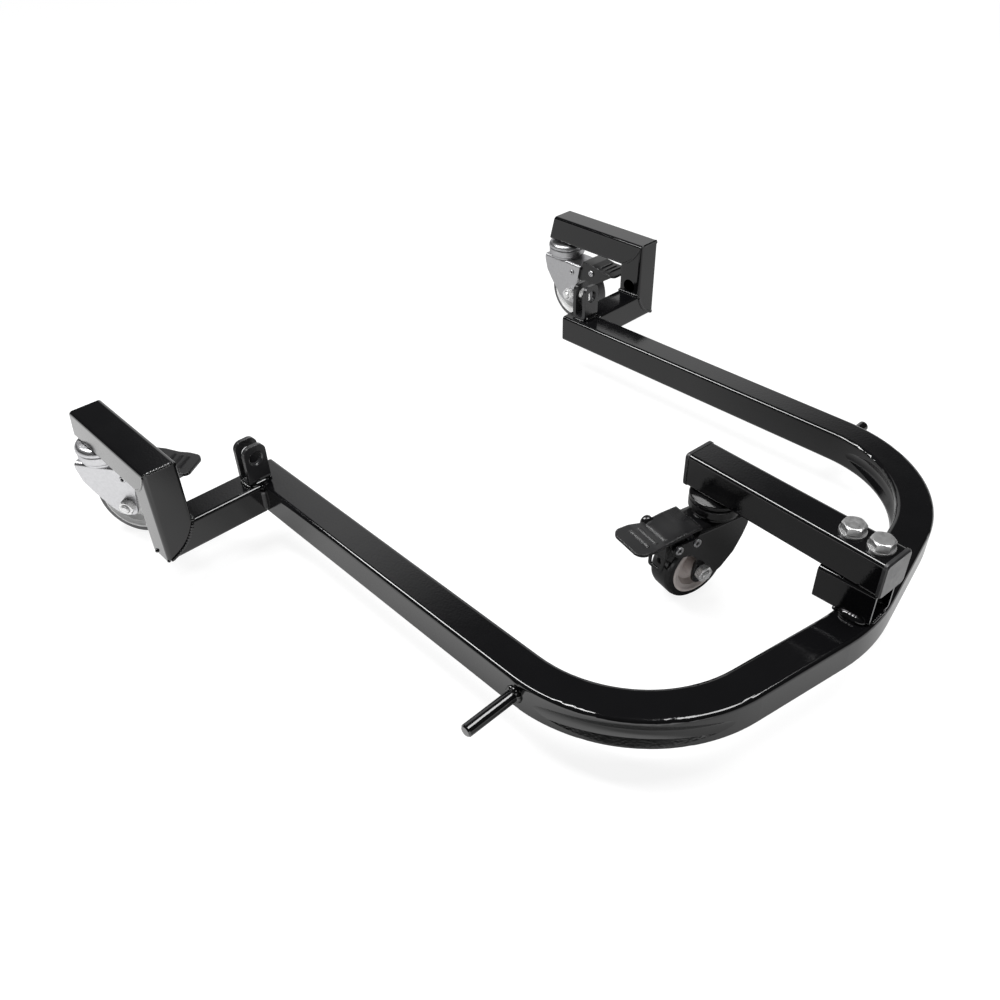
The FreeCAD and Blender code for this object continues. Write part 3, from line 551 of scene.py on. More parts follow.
def bead(points, radius, flat=(0, 0, 0), closed=False, calm=False):
    """Weld bead along a line: rippled unless it is calm, a little uneven and rounded off at its ends.

    The flat direction is squeezed, so that a ground seam lies low on its face.
    """
    welds = welding()
    depth_share = welds.calm_share if calm else welds.ripple_share
    chance = random.Random(f"{welds.seed} {points[0]} {points[-1]}")
    line = spaced([Vector(p) for p in points], welds.ripple / 5)
    squeeze = Vector(flat)
    phase = chance.uniform(0, math.tau)
    sections = []
    travelled = 0.0
    total = sum((b - a).length for a, b in zip(line, line[1:]))
    for index, point in enumerate(line):
        before = line[index - 1] if index or closed else point
        after = line[(index + 1) % len(line)] if index + 1 < len(line) or closed else point
        along = (after - before).normalized()
        if index:
            travelled += (point - line[index - 1]).length
        ripple = abs(math.sin(math.pi * travelled / welds.ripple + phase))
        width = radius * (1 - depth_share * ripple) * (1 + depth_share * chance.uniform(-0.3, 0.3))
        if not closed:
            end = min(travelled, total - travelled) / (radius * 1.6)
            width *= math.sqrt(max(0.02, 1 - (1 - min(1, end)) ** 2))
        side = along.orthogonal().normalized() if abs(along.z) > 0.9 else along.cross(UP).normalized()
        lift = side.cross(along).normalized()
        section = []
        for step in range(welds.sides):
            angle = math.tau * step / welds.sides
            offset = (side * math.cos(angle) + lift * math.sin(angle)) * width
            section.append(point + offset - squeeze * offset.dot(squeeze) * 0.55)
        sections.append(section)
    return rings(sections, closed)


def drop(place, along, radius):
    """Short bead that stands proud at a corner."""
    reach = Vector(along).normalized() * radius * 0.8
    return bead([Vector(place) - reach, Vector(place) + reach], radius)


def weld(name, *beads):
    """One piece of several beads on the frame."""
    return piece(name, *joined(*beads), "frame", "black_powder_coat", "powder_coat")


class DOLLY_OT_finish_frame(bpy.types.Operator):
    """Paint the frame, the outriggers, the arm and their fasteners"""
    bl_idname = "dolly.finish_frame"
    bl_label = "Finish the frame"

    def execute(self, context):
        for node in frame["record"]["behaviour"]["bodies"]["frame"]:
            dress(node)
        return {"FINISHED"}


class DOLLY_OT_finish_casters(bpy.types.Operator):
    """Plate, paint and mould the casters"""
    bl_idname = "dolly.finish_casters"
    bl_label = "Finish the casters"

    def execute(self, context):
        for body, members in frame["record"]["behaviour"]["bodies"].items():
            if body != "frame":
                for node in members:
                    dress(node)
        return {"FINISHED"}


def upright_sides(side):
    """Box of an upright, with its inner and its outer X."""
    low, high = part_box(side + "_upright")
    inner, outer = (high.x, low.x) if side == "left" else (low.x, high.x)
    return low, high, inner, outer


def foot_beads(side):
    """Heavy beads round the end of a cross tube where it meets the arm."""
    welds = welding()
    low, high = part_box(side + "_cross_tube")
    arm_x = high.x if side == "left" else low.x
    radius = welds.foot
    beads = []
    for y in (low.y, high.y):
        upright = [(arm_x, y, low.z + radius), (arm_x, y, high.z - radius * 0.6)]
        beads.append(bead(upright, radius, calm=True))
        beads.append(drop((arm_x, y, high.z - radius * 0.5), UP, radius * 0.8))
    for z in (low.z, high.z):
        rise = math.copysign(welds.fillet * 0.5, low.z + high.z - 2 * z)
        level = [(arm_x, low.y + radius, z + rise), (arm_x, high.y - radius, z + rise)]
        beads.append(bead(level, welds.fillet))
    return beads


def lower_mitre_beads(side):
    """Bowed seams across an upright's foot, the fillet in its inner corner and drops at the corners."""
    welds = welding()
    low, high, inner, outer = upright_sides(side)
    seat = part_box(side + "_cross_tube")[1].z
    corner = Vector((inner, 0, seat))
    foot = Vector((outer, 0, low.z))
    bow = Vector((inner - outer, 0, low.z - seat)) * welds.bow_share
    shares = [0.05 + 0.09 * step for step in range(11)]
    beads = []
    for y, face in ((low.y, -1), (high.y, 1)):
        line = [corner.lerp(foot, share) + bow * math.sin(math.pi * share) for share in shares]
        beads.append(bead([Vector((p.x, y, p.z)) for p in line], welds.seam * 2.3, (0, face * 0.6, 0)))
        beads.append(drop((inner, y - face * welds.drop, seat), (0, 1, 0), welds.drop * 1.5))
    beads.append(bead([(inner, low.y + welds.drop, seat), (inner, high.y - welds.drop, seat)], welds.fillet))
    edge = Vector((outer, high.y - (high.y - low.y) * 0.3, low.z + welds.drop * 0.8))
    beads.append(drop(edge, (0, 1, 0.3), welds.drop * 1.2))
    heel = Vector((outer - (outer - inner) * 0.03, low.y + welds.drop, low.z + welds.drop * 0.4))
    beads.append(drop(heel, (0, 1, 0), welds.drop))
    return beads


def upper_mitre_beads(side):
    """Seams where an upright meets the top tube, and the fillet under that tube."""
    welds = welding()
    low, high, inner, outer = upright_sides(side)
    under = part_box(side + "_top_tube")[0].z
    inset = welds.drop * 1.3
    beads = []
    for x, face in ((low.x, -1), (high.x, 1)):
        start = Vector((x, high.y, under))
        end = Vector((x, low.y, high.z))
        bow = Vector((0, low.y - high.y, under - high.z)) * welds.bow_share * 0.8
        shares = (0.06, 0.28, 0.5, 0.72, 0.94)
        line = [start.lerp(end, share) + bow * math.sin(math.pi * share) for share in shares]
        beads.append(bead(line, welds.seam * 1.7, (face, 0, 0)))
        corner = (x - face * inset, low.y + inset * 0.3, high.z - inset * 0.3)
        beads.append(drop(corner, (1, 0, 0), welds.drop * 0.8))
    beads.append(bead([(low.x + inset, high.y, under), (high.x - inset, high.y, under)], welds.fillet))
    ridge_y, ridge_z = low.y + inset * 0.25, high.z - inset * 0.25
    ridge = [(low.x + inset, ridge_y, ridge_z), (high.x - inset, ridge_y, ridge_z)]
    beads.append(bead(ridge, welds.seam * 2.2))
    return beads


class DOLLY_OT_weld_outriggers(bpy.types.Operator):
    """Weld the mitres of the outriggers and their feet on the arms"""
    bl_idname = "dolly.weld_outriggers"
    bl_label = "Weld the outriggers"

    def execute(self, context):
        for side in SIDES:
            weld(side + "_outrigger_foot_welds", *foot_beads(side))
            weld(side + "_outrigger_mitre_welds", *lower_mitre_beads(side), *upper_mitre_beads(side))
        return {"FINISHED"}


class DOLLY_OT_weld_clevises(bpy.types.Operator):
    """Weld the clevises onto the arms"""
    bl_idname = "dolly.weld_clevises"
    bl_label = "Weld the clevises"

    def execute(self, context):
        radius = welding().fillet
        for side in SIDES:
            low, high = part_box(side + "_clevis")
            inset = radius * 0.8
            level = low.z + radius * 0.35
            beads = []
            for y in (low.y + radius * 0.7, high.y - radius * 0.7):
                line = [(low.x + inset, y, level), (high.x - inset, y, level)]
                beads.append(bead(line, radius * 1.1, calm=True))
            for x in (low.x, high.x):
                beads.append(bead([(x, low.y + radius, low.z), (x, high.y - radius, low.z)], radius * 0.9))
                for y in (low.y + radius, high.y - radius):
                    beads.append(drop((x, y, low.z + radius * 0.3), (1, 1, 0), radius * 0.8))
            weld(side + "_clevis_welds", *beads)
        return {"FINISHED"}


class DOLLY_OT_weld_lever_pins(bpy.types.Operator):
    """Weld the lever pins onto the arms"""
    bl_idname = "dolly.weld_lever_pins"
    bl_label = "Weld the lever pins"

    def execute(self, context):
        radius = welding().fillet
        for side in SIDES:
            low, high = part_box(side + "_lever_pin")
            root = high.x if side == "left" else low.x
            middle = (low + high) / 2
            pin = (high.z - low.z) / 2
            circle = []
            for step in range(24):
                angle = math.tau * step / 24
                circle.append((root, middle.y + pin * math.cos(angle), middle.z + pin * math.sin(angle)))
            lump = drop((root, middle.y, middle.z + pin), (0, 1, 0), radius * 1.2)
            weld(side + "_lever_pin_weld", bead(circle, radius, closed=True), lump)
        return {"FINISHED"}


class DOLLY_OT_weld_riser(bpy.types.Operator):
    """Weld the riser onto the closed end"""
    bl_idname = "dolly.weld_riser"
    bl_label = "Weld the riser"

    def execute(self, context):
        radius = welding().fillet
        low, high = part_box("riser")
        seat = low.y + (high.x - low.x) * 0.9
        level = low.z + radius * 0.4
        beads = []
        for x in (low.x, high.x):
            line = [(x, low.y + radius, level), (x, seat - radius, level)]
            beads.append(bead(line, radius * 1.8, calm=True))
            beads.append(drop((x, seat, level), (0, 1, 0), radius))
        front = [(low.x + radius * 2, low.y, low.z), (high.x - radius * 2, low.y, low.z)]
        beads.append(bead(front, radius * 0.6))
        weld("riser_welds", *beads)
        return {"FINISHED"}


# Fasteners

def hexagon_rings(flats, height, top_share, slope, both=False):
    """Rings of a hexagon on Z whose corners are cut by a cone at the top, and below too for a nut."""
    steps = 72
    flat_radius = flats / 2 * top_share
    levels = []
    for base, sign, cut in ((0, 1, both), (height, -1, True)):
        cone, rim = [], []
        for step in range(steps):
            angle = math.tau * step / steps
            within = (angle + math.pi / 6) % (math.pi / 3) - math.pi / 6
            reach = flats / 2 / math.cos(math.pi / 6 - abs(within))
            depth = max(0.0, reach - flat_radius) * math.tan(slope) if cut else 0.0
            outward = Vector((math.cos(angle), math.sin(angle), 0))
            rim.append(outward * reach + UP * (base + sign * depth))
            cone.append(outward * flat_radius + UP * base)
        levels += [cone, rim] if sign > 0 else [rim, cone]
    return levels


def hexagon_head(flats, height):
    """Bolt head standing on Z = 0, chamfered on top."""
    fasteners = fastening()
    return rings(hexagon_rings(flats, height, fasteners.chamfer_share, fasteners.chamfer_angle))


def hexagon_nut(flats, height, bore):
    """Nut standing on Z = 0, chamfered at both ends, with a countersunk bore."""
    fasteners = fastening()
    levels = hexagon_rings(flats, height, fasteners.chamfer_share, fasteners.chamfer_angle, both=True)
    count = len(levels[0])
    sink = fasteners.thread_pitch * 0.6
    for radius, level in ((bore + sink, height), (bore, height - sink), (bore, sink), (bore + sink, 0)):
        ring = []
        for step in range(count):
            angle = math.tau * step / count
            ring.append(Vector((radius * math.cos(angle), radius * math.sin(angle), level)))
        levels.append(ring)
    return rings(levels, closed=True)


def threaded_rod(radius, start, end, pitch):
    """Threaded bar on Z between two heights, with a chamfered tip."""
    profile = [(radius * 0.02, start), (radius * 0.86, start)]
    level = start
    while level + pitch < end - pitch:
        profile += [(radius, level + pitch * 0.35), (radius, level + pitch * 0.5),
                    (radius * 0.87, level + pitch * 0.95)]
        level += pitch
    profile += [(radius, end - pitch * 0.8), (radius * 0.8, end), (radius * 0.02, end)]
    return lathe(profile, 36)


def halves(node):
    """Middles of a node's two like solids, which lie apart along Y, with the node's lowest and highest Z."""
    low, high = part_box(node)
    split = (low.y + high.y) / 2
    middles = []
    for keep in (lambda v: v.co.y < split, lambda v: v.co.y >= split):
        points = [v.co for v in nodes[node].data.vertices if keep(v)]
        xs = [p.x for p in points]
        ys = [p.y for p in points]
        middles.append(Vector(((min(xs) + max(xs)) / 2, (min(ys) + max(ys)) / 2, 0)))
    return middles, low.z, high.z


class DOLLY_OT_clamp_bolts(bpy.types.Operator):
    """Make the clamp's bolts with chamfered heads and threaded ends"""
    bl_idname = "dolly.clamp_bolts"
    bl_label = "Make the clamp bolts"

    def execute(self, context):
        pitch = fastening().thread_pitch * 1.2
        middles, bottom, top = halves("clamp_bolts")
        _, washer_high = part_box("clamp_washers")
        nut_low, nut_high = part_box("clamp_nuts")
        flats = (nut_high.x - nut_low.x - abs(middles[0].x - middles[1].x)) * math.cos(math.pi / 6)
        shank = flats * 5 / 16
        parts = []
        for middle in middles:
            head = hexagon_head(flats, top - washer_high.z)
            parts.append(placed(head, middle + UP * washer_high.z, Matrix.Identity(3)))
            rod = threaded_rod(shank, 0, washer_high.z - bottom, pitch)
            parts.append(placed(rod, middle + UP * washer_high.z, Matrix.Rotation(math.pi, 3, "X")))
        bolts = piece("clamp_bolts_chamfered", *joined(*parts), "frame", "zinc_plate", "bolt_zinc", False)
        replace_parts(bolts, "clamp_bolts")
        return {"FINISHED"}


def caster_axes(name):
    """Axle's middle, the axle's direction and the direction in which the caster trails."""
    axle = Vector(joints[name + "_wheel_spin"]["pos_m"])
    kingpin = Vector(joints[name + "_swivel_turn"]["pos_m"])
    along = Vector(joints[name + "_wheel_spin"]["axis"]).normalized()
    ahead = axle - kingpin
    ahead.z = 0
    return axle, along, ahead.normalized()


def reach_along(node, place, direction):
    """Lowest and highest reach of a node from a place along a direction."""
    reaches = [(v.co - place).dot(direction) for v in nodes[node].data.vertices]
    return min(reaches), max(reaches)


class DOLLY_OT_axle_fasteners(bpy.types.Operator):
    """Make the axle bolts and nuts with chamfers and threads"""
    bl_idname = "dolly.axle_fasteners"
    bl_label = "Make the axle fasteners"

    def execute(self, context):
        pitch = fastening().thread_pitch
        for name in CASTERS:
            swivel = name + "_swivel"
            axle, along, ahead = caster_axes(name)
            near, far = reach_along(name + "_axle_nut", axle, along)
            if near + far < 0:
                along = -along
                near, far = -far, -near
            turn = standing(along, ahead)
            nut_reach = reach_along(name + "_axle_nut", axle, ahead)
            flats = (nut_reach[1] - nut_reach[0]) * math.cos(math.pi / 6)
            back, tip = reach_along(name + "_axle_bolt", axle, along)
            fork_back = -near
            radius = flats * 4 / 13
            nut = placed(hexagon_nut(flats, far - near, radius), axle + along * near, turn)
            nut_piece = piece(name + "_axle_nut_chamfered", *nut, swivel, "zinc_plate", "axle_zinc", False)
            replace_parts(nut_piece, name + "_axle_nut")
            rod = threaded_rod(radius * 0.98, fork_back, tip, pitch)
            head = placed(hexagon_head(flats, fork_back - back), Vector(), Matrix.Rotation(math.pi, 3, "X"))
            head = placed(head, Vector((0, 0, fork_back)), Matrix.Identity(3))
            bolt = placed(joined(rod, head), axle, turn)
            bolt_piece = piece(name + "_axle_bolt_threaded", *bolt, swivel, "zinc_plate", "axle_zinc", False)
            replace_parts(bolt_piece, name + "_axle_bolt")
        return {"FINISHED"}


def rolled_head(face, end, head, bore):
    """Profile of a rivet's rolled head, from its outer rim on a face over to its bore."""
    middle, rim = (head + bore) / 2, (head - bore) / 2
    profile = [(head * 0.96, face)]
    for step in range(9):
        angle = math.pi * step / 8
        profile.append((middle + rim * math.cos(angle), face + (end - face) * (0.3 + 0.7 * math.sin(angle))))
    return profile


def through_rivet(face, end, head, bore, shank):
    """Hollow rivet across Z = 0 with a rolled head at both ends."""
    half = rolled_head(face, end, head, bore)
    other = [(radius, -height) for radius, height in reversed(half)]
    return lathe(half + other + [(shank, -face), (shank, face)], 32)


def stub_rivet(inner, face, end, head, bore, shank):
    """Hollow rivet with one rolled head, which ends inside the fork."""
    return lathe(rolled_head(face, end, head, bore) + [(bore, inner), (shank, inner), (shank, face)], 32)


def rivet_places(node, axle, along, ahead):
    """Reaches towards the pedal and heights of a node's rivets, read from the ends of their heads."""
    end = reach_along(node, axle, along)[1]
    rims = [v.co - axle for v in nodes[node].data.vertices if (v.co - axle).dot(along) > end - 0.2 * MM]
    rims.sort(key=lambda point: point.dot(ahead))
    groups = [[rims[0]]]
    for before, point in zip(rims, rims[1:]):
        if point.dot(ahead) - before.dot(ahead) > 4 * MM:
            groups.append([])
        groups[-1].append(point)
    places = []
    for group in groups:
        reaches = [point.dot(ahead) for point in group]
        heights = [point.z for point in group]
        places.append(ahead * (min(reaches) + max(reaches)) / 2 + UP * (min(heights) + max(heights)) / 2)
    return places, end


class DOLLY_OT_fork_rivets(bpy.types.Operator):
    """Make the forks' hollow rivets with rolled heads"""
    bl_idname = "dolly.fork_rivets"
    bl_label = "Make the fork rivets"

    def execute(self, context):
        sizes = fastening()
        head, bore, shank = sizes.rivet_head, sizes.rivet_bore, sizes.rivet_shank
        for name in CASTERS:
            node = name + "_fork_rivets"
            axle, along, ahead = caster_axes(name)
            places, end = rivet_places(node, axle, along, ahead)
            face = min(abs(reach) for reach in reach_along(name + "_axle_nut", axle, along))
            inner = min(abs((v.co - axle).dot(along)) for v in nodes[node].data.vertices)
            parts = []
            for place in places:
                if name == "centre":
                    rivet = through_rivet(face, end, head, bore, shank)
                    parts.append(placed(rivet, axle + place, standing(along, ahead)))
                    continue
                for outward in (along, -along):
                    rivet = stub_rivet(inner, face, end, head * 0.8, bore * 0.8, shank * 0.9)
                    parts.append(placed(rivet, axle + place, standing(outward, ahead)))
            rivets = piece(node + "_rolled", *joined(*parts), name + "_swivel", "zinc_plate", "bright_zinc")
            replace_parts(rivets, node)
        return {"FINISHED"}


# Swivel dishes and wheels

class DOLLY_OT_swivel_dishes(bpy.types.Operator):
    """Make the side casters' upper dishes with a full round rim"""
    bl_idname = "dolly.swivel_dishes"
    bl_label = "Make the swivel dishes"

    def execute(self, context):
        sizes = context.scene.dolly_wheels
        for name in SIDES:
            node = name + "_upper_dish"
            low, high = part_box(node)
            middle = (low + high) / 2
            radius = (high.x - low.x) / 2 + sizes.dish_swell
            foot = low.z - sizes.dish_skirt
            bore = sizes.dish_bore
            wall = sizes.dish_wall
            profile = [(bore, low.z + wall), (radius - wall, low.z + wall), (radius - wall, foot),
                       (radius, foot)]
            for step in range(9):
                angle = math.radians(10 * step)
                out = radius - sizes.dish_round * (1 - math.cos(angle))
                profile.append((out, low.z + (high.z - low.z) * math.sin(angle)))
            profile += [(radius - sizes.dish_round * 1.8, high.z), (bore, high.z)]
            place = Vector((middle.x, middle.y, 0))
            dish = placed(lathe(profile, 64), place, Matrix.Identity(3))
            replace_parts(piece(node + "_rounded", *dish, "frame", "zinc_plate", "bright_zinc"), node)
        return {"FINISHED"}


def core_profile(rim, shoulder, foot, proud):
    """Profile of the moulded ring on one side of a wheel: a lip, a step and a slope down to the web."""
    lip = [(rim, proud - 3.5 * MM), (rim, proud - 0.4 * MM), (rim - 0.5 * MM, proud)]
    step = [(shoulder + 0.5 * MM, proud), (shoulder, proud - 0.9 * MM),
            (shoulder - 2.2 * MM, proud - 1.3 * MM)]
    slope = [(foot, proud - 4.2 * MM), (foot - 0.8 * MM, proud - 6.2 * MM), (shoulder, proud - 6.2 * MM)]
    return lip + step + slope


class DOLLY_OT_wheel_rings(bpy.types.Operator):
    """Make the moulded rings that show at the wheels' sides"""
    bl_idname = "dolly.wheel_rings"
    bl_label = "Make the wheel rings"

    def execute(self, context):
        sizes = context.scene.dolly_wheels
        for name in CASTERS:
            axle, along, ahead = caster_axes(name)
            core = reach_along(name + "_wheel_core", axle, ahead)[1]
            rim = core + sizes.ring_lap
            proud = reach_along(name + "_tyre", axle, along)[1] + sizes.ring_proud
            ring = lathe(core_profile(rim, core + sizes.ring_step, core - sizes.ring_slope, proud), 72)
            parts = [placed(ring, axle, standing(side, ahead)) for side in (along, -along)]
            coating = node_finish(name + "_wheel_core")
            piece(name + "_wheel_rings", *joined(*parts), name + "_wheel", "core_plastic", coating)
        return {"FINISHED"}


# Brakes

def caster_place(name, ahead_by, height, aside=0.0):
    """Place on a caster by its reach from the kingpin towards the pedal, its height and its reach aside."""
    _, along, ahead = caster_axes(name)
    kingpin = Vector(joints[name + "_swivel_turn"]["pos_m"])
    return Vector((kingpin.x, kingpin.y, height)) + ahead * ahead_by + along * aside


def cheek_half(name, place):
    """Half width over a pedal's cheeks near a place."""
    _, along, ahead = caster_axes(name)
    near = []
    for vertex in nodes[name + "_pedal"].data.vertices:
        offset = vertex.co - place
        if abs(offset.dot(ahead)) < 12 * MM and offset.z < 4 * MM:
            near.append(abs(offset.dot(along)))
    return max(near)


class DOLLY_OT_spring_pins(bpy.types.Operator):
    """Make the spring pins of the side pedals"""
    bl_idname = "dolly.spring_pins"
    bl_label = "Make the spring pins"

    def execute(self, context):
        brakes, sizes = context.scene.dolly_brakes, fastening()
        for name in SIDES:
            place = caster_place(name, brakes.pin_ahead, brakes.pin_height)
            _, along, ahead = caster_axes(name)
            half = cheek_half(name, place)
            end = half + sizes.rivet_head * 0.5
            pin = through_rivet(half, end, sizes.rivet_head, sizes.rivet_bore * 0.6, sizes.rivet_shank)
            pin = placed(pin, place, standing(along, ahead))
            piece(name + "_spring_pin", *pin, name + "_brake", "zinc_plate", "bright_zinc")
        return {"FINISHED"}


def rounded_loop(low, high, foot, top, radius, steps=5):
    """Points (aside, height) of an outline with four rounded corners and half widths at foot and top."""
    corners = [(-foot, low), (foot, low), (top, high), (-top, high)]
    points = []
    for index, (x, z) in enumerate(corners):
        for step in range(steps):
            angle = math.pi * (1 + index / 2) + math.pi / 2 * step / (steps - 1)
            inward_x = radius if x < 0 else -radius
            inward_z = radius if z == low else -radius
            points.append((x + inward_x + radius * math.cos(angle), z + inward_z + radius * math.sin(angle)))
    return points


class DOLLY_OT_shoe_holder(bpy.types.Operator):
    """Make the centre brake's windowed shoe holder and the stud on its pedal"""
    bl_idname = "dolly.shoe_holder"
    bl_label = "Make the shoe holder"

    def execute(self, context):
        brakes = context.scene.dolly_brakes
        low, high, foot, top = brakes.holder_low, brakes.holder_high, brakes.holder_foot, brakes.holder_top
        sheet = brakes.holder_sheet
        border = sheet * 1.9
        outline = rounded_loop(low, high, foot, top, sheet * 1.5)
        window_top = low + (high - low) * 0.45
        window = rounded_loop(low + border, window_top, foot - border, foot - border * 0.8, sheet)

        def stand(points, behind):
            sections = []
            for aside, height in points:
                lean = brakes.holder_lean * (height - low) / (high - low)
                sections.append(caster_place("centre", brakes.holder_ahead - lean - behind, height, aside))
            return sections

        front = [stand(outline, 0), stand(window, 0)]
        back = [stand(window, sheet), stand(outline, sheet)]
        parts = [rings(front + back, closed=True)]
        flange_foot = low + (high - low) * 0.55
        for side in (-1, 1):
            flange = []
            for behind in (sheet * 0.5, sheet * 5):
                corners = ((top - sheet, high), (top, high), (top - sheet * 0.6, flange_foot),
                           (top - sheet * 1.6, flange_foot))
                flange.append([stand([(side * x, z)], behind)[0] for x, z in corners])
            parts.append(rings(flange))
        piece("centre_shoe_holder", *joined(*parts), "centre_brake", "black_e_coat", "e_coat", False)
        _, along, ahead = caster_axes("centre")
        place = caster_place("centre", brakes.stud_ahead, brakes.stud_height)
        reach = top * 1.15
        radius = brakes.stud_radius
        profile = [(radius * 0.02, reach), (radius, reach)]
        for angle in (0, 0.4, 0.8, 1.2, 1.5):
            profile.append((radius * math.cos(angle), reach + radius * (1 + 0.5 * math.sin(angle))))
        profile.append((radius * 0.02, reach + radius * 1.5))
        near_side = along if along.y < 0 else -along
        stud = placed(lathe(profile, 32), place, standing(-near_side, ahead))
        piece("centre_pedal_stud", *stud, "centre_brake", "black_e_coat", "e_coat")
        return {"FINISHED"}


# Stage

# Places in metres between which the floor's glow changes
SEEN_RAMP = (0.5, 1.8)
SHADE_RAMP = (0.12, 0.26)
BESIDE_RAMP = (-0.235, -0.29)
CORNER_RAMP = (0.05, -0.10)
LEFT_RAMP = (-0.30, -0.36)
FRONT_RAMP = (-0.26, -0.34)
# The white panel at the far right: its lean, its limits by direction and its glow, and the room's glow
PANEL_LEAN = (0, -0.7, 1)
PANEL_TOP = (0.18, 0.32)
PANEL_SIDE = (0.26, 0.38)
PANEL_GLOW = 1.15
ROOM_GLOW = 0.06


class DOLLY_OT_stage(bpy.types.Operator):
    """Set up the floor, the lights and the camera"""
    bl_idname = "dolly.stage"
    bl_label = "Set up the stage"

    def execute(self, context):
        stage = context.scene.dolly_stage
        make_floor(stage)
        make_world()
        make_lights(stage)
        make_camera(stage)
        context.scene.view_settings.view_transform = "Standard"
        return {"FINISHED"}


def mirrored_glow(shader, stage):
    """What shiny paint mirrors of the floor: little from the shade, more from the open, left and front."""
    parts = shader.parts(shader.place)
    glow = shader.ramp(shader.distance(stage.shade_place), *SHADE_RAMP, stage.shade_glow, stage.open_glow)
    beside = shader.ramp(parts["X"], *BESIDE_RAMP, 0.0, 1.0)
    corner = shader.times(beside, shader.ramp(parts["Y"], *CORNER_RAMP, 0.0, stage.corner_glow))
    for more in (shader.ramp(beside, 0.0, 1.0, 0.0, stage.left_glow), corner,
                 shader.ramp(parts["X"], *LEFT_RAMP, 0.0, stage.left_glow),
                 shader.ramp(parts["Y"], *FRONT_RAMP, 0.0, stage.front_glow)):
        glow = shader.add(glow, more)
    return glow


def make_floor(stage):
    """Pale floor that looks white where no shadow falls."""
    half = stage.floor_size / 2
    mesh = bpy.data.meshes.new("floor")
    corners = [(-half, -half, 0), (half, -half, 0), (half, half, 0), (-half, half, 0)]
    mesh.from_pydata(corners, [], [(0, 1, 2, 3)])
    floor = bpy.data.objects.new("floor", mesh)
    bpy.context.scene.collection.objects.link(floor)
    shader = Shader("floor_white")
    shader.surface.inputs["Base Color"].default_value = (0.20, 0.20, 0.20, 1)
    shader.surface.inputs["Roughness"].default_value = 0.9
    shader.surface.inputs["Specular IOR Level"].default_value = 0.0
    rays = shader.new("ShaderNodeLightPath").outputs
    seen = shader.ramp(shader.distance((0, 0, 0)), *SEEN_RAMP, stage.floor_glow, stage.far_glow)
    strength = shader.times(seen, rays["Is Camera Ray"])
    strength = shader.add(strength, shader.times(mirrored_glow(shader, stage), rays["Is Glossy Ray"]))
    strength = shader.add(strength, shader.ramp(rays["Is Diffuse Ray"], 0.0, 1.0, 0.0, stage.fill_glow))
    glow = shader.new("ShaderNodeEmission")
    both = shader.new("ShaderNodeAddShader")
    shader.link(strength, glow.inputs["Strength"])
    shader.link(shader.surface.outputs["BSDF"], both.inputs[0])
    shader.link(glow.outputs["Emission"], both.inputs[1])
    shader.link(both.outputs["Shader"], shader.tree.nodes["Material Output"].inputs["Surface"])
    mesh.materials.append(shader.material)


def make_world():
    """White backdrop to the eye, and for light a white panel at the far right in a dark room."""
    world = bpy.data.worlds.new("studio")
    bpy.context.scene.world = world
    world.use_nodes = True
    world.node_tree.nodes.clear()
    studio = Nodes(world.node_tree)
    direction = studio.new("ShaderNodeTexCoord").outputs["Generated"]
    rise = studio.against("DOT_PRODUCT", direction, PANEL_LEAN)
    height = studio.ramp(rise, *PANEL_TOP, PANEL_GLOW, ROOM_GLOW)
    far_side = studio.ramp(studio.parts(direction)["X"], *PANEL_SIDE, 0.0, 1.0)
    dimmest = studio.new("ShaderNodeMath", "MAXIMUM")
    dimmest.inputs[1].default_value = ROOM_GLOW
    room = studio.new("ShaderNodeBackground")
    backdrop = studio.new("ShaderNodeBackground")
    backdrop.inputs["Color"].default_value = (1, 1, 1, 1)
    choice = studio.new("ShaderNodeMixShader")
    output = studio.new("ShaderNodeOutputWorld")
    studio.link(studio.times(height, far_side), dimmest.inputs[0])
    studio.link(dimmest.outputs[0], room.inputs["Strength"])
    studio.link(studio.new("ShaderNodeLightPath").outputs["Is Camera Ray"], choice.inputs["Fac"])
    studio.link(room.outputs["Background"], choice.inputs[1])
    studio.link(backdrop.outputs["Background"], choice.inputs[2])
    studio.link(choice.outputs["Shader"], output.inputs["Surface"])


def area_light(name, place, target, sizes, power):
    """Soft light that faces a target."""
    light = bpy.data.lights.new(name, "AREA")
    light.shape = "RECTANGLE"
    light.size, light.size_y = sizes
    light.energy = power
    lamp = bpy.data.objects.new(name, light)
    lamp.location = place
    lamp.rotation_euler = (Vector(target) - Vector(place)).to_track_quat("-Z", "Y").to_euler()
    bpy.context.scene.collection.objects.link(lamp)


def make_lights(stage):
    """Strip light at the back left and a softbox over the front, for the lines along the tubes' edges."""
    area_light("back_left", (-0.45, 0.58, 1.38), (-0.30, 0, 0), (0.35, 1.15), stage.back_power)
    area_light("over_front", (0.35, -0.45, 1.40), (0, 0, 0), (0.60, 0.60), stage.front_power)


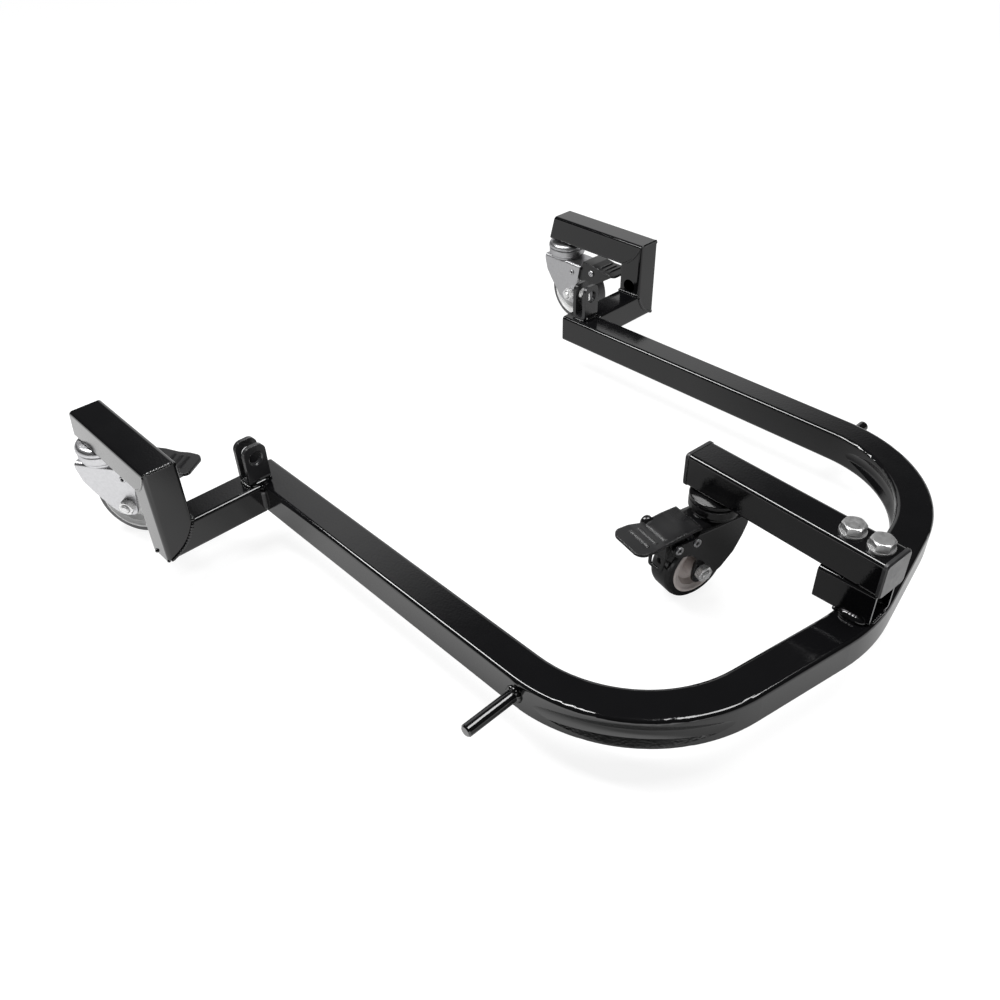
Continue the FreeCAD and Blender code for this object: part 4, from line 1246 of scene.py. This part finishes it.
def make_camera(stage):
    """Camera at the photo's place, turn and lens."""
    camera = bpy.data.cameras.new("camera")
    camera.lens = stage.camera_lens
    camera.sensor_width = 36.0
    camera.sensor_fit = "HORIZONTAL"
    camera.clip_start = 0.01
    holder = bpy.data.objects.new("camera", camera)
    holder.location = stage.camera_place
    holder.rotation_euler = Euler(stage.camera_turn, "XYZ")
    bpy.context.scene.collection.objects.link(holder)
    bpy.context.scene.camera = holder


OPERATORS = (
    DOLLY_OT_finish_frame,
    DOLLY_OT_finish_casters,
    DOLLY_OT_weld_outriggers,
    DOLLY_OT_weld_clevises,
    DOLLY_OT_weld_lever_pins,
    DOLLY_OT_weld_riser,
    DOLLY_OT_clamp_bolts,
    DOLLY_OT_axle_fasteners,
    DOLLY_OT_fork_rivets,
    DOLLY_OT_swivel_dishes,
    DOLLY_OT_wheel_rings,
    DOLLY_OT_spring_pins,
    DOLLY_OT_shoe_holder,
    DOLLY_OT_stage,
)


class DOLLY_PT_panel(bpy.types.Panel):
    """Steps that dress the dolly"""
    bl_label = "Motorcycle mover dolly"
    bl_idname = "DOLLY_PT_panel"
    bl_space_type = "VIEW_3D"
    bl_region_type = "UI"
    bl_category = "Dolly"

    def draw(self, context):
        for operator in OPERATORS:
            self.layout.operator(operator.bl_idname)


GROUPS = {
    "dolly_finishes": DollyFinishes,
    "dolly_welds": DollyWelds,
    "dolly_fasteners": DollyFasteners,
    "dolly_wheels": DollyWheels,
    "dolly_brakes": DollyBrakes,
    "dolly_stage": DollyStage,
}


def register():
    """Add the settings, the operators and the panel."""
    for name, group in GROUPS.items():
        bpy.utils.register_class(group)
        setattr(bpy.types.Scene, name, PointerProperty(type=group))
    for operator in OPERATORS:
        bpy.utils.register_class(operator)
    bpy.utils.register_class(DOLLY_PT_panel)


def unregister():
    """Take them away again."""
    bpy.utils.unregister_class(DOLLY_PT_panel)
    for operator in reversed(OPERATORS):
        bpy.utils.unregister_class(operator)
    for name, group in reversed(GROUPS.items()):
        delattr(bpy.types.Scene, name)
        bpy.utils.unregister_class(group)


def main():
    """Dress the dolly and set up the stage."""
    register()
    for operator in OPERATORS:
        group, name = operator.bl_idname.split(".")
        getattr(getattr(bpy.ops, group), name)()


if __name__ == "__main__":
    main()
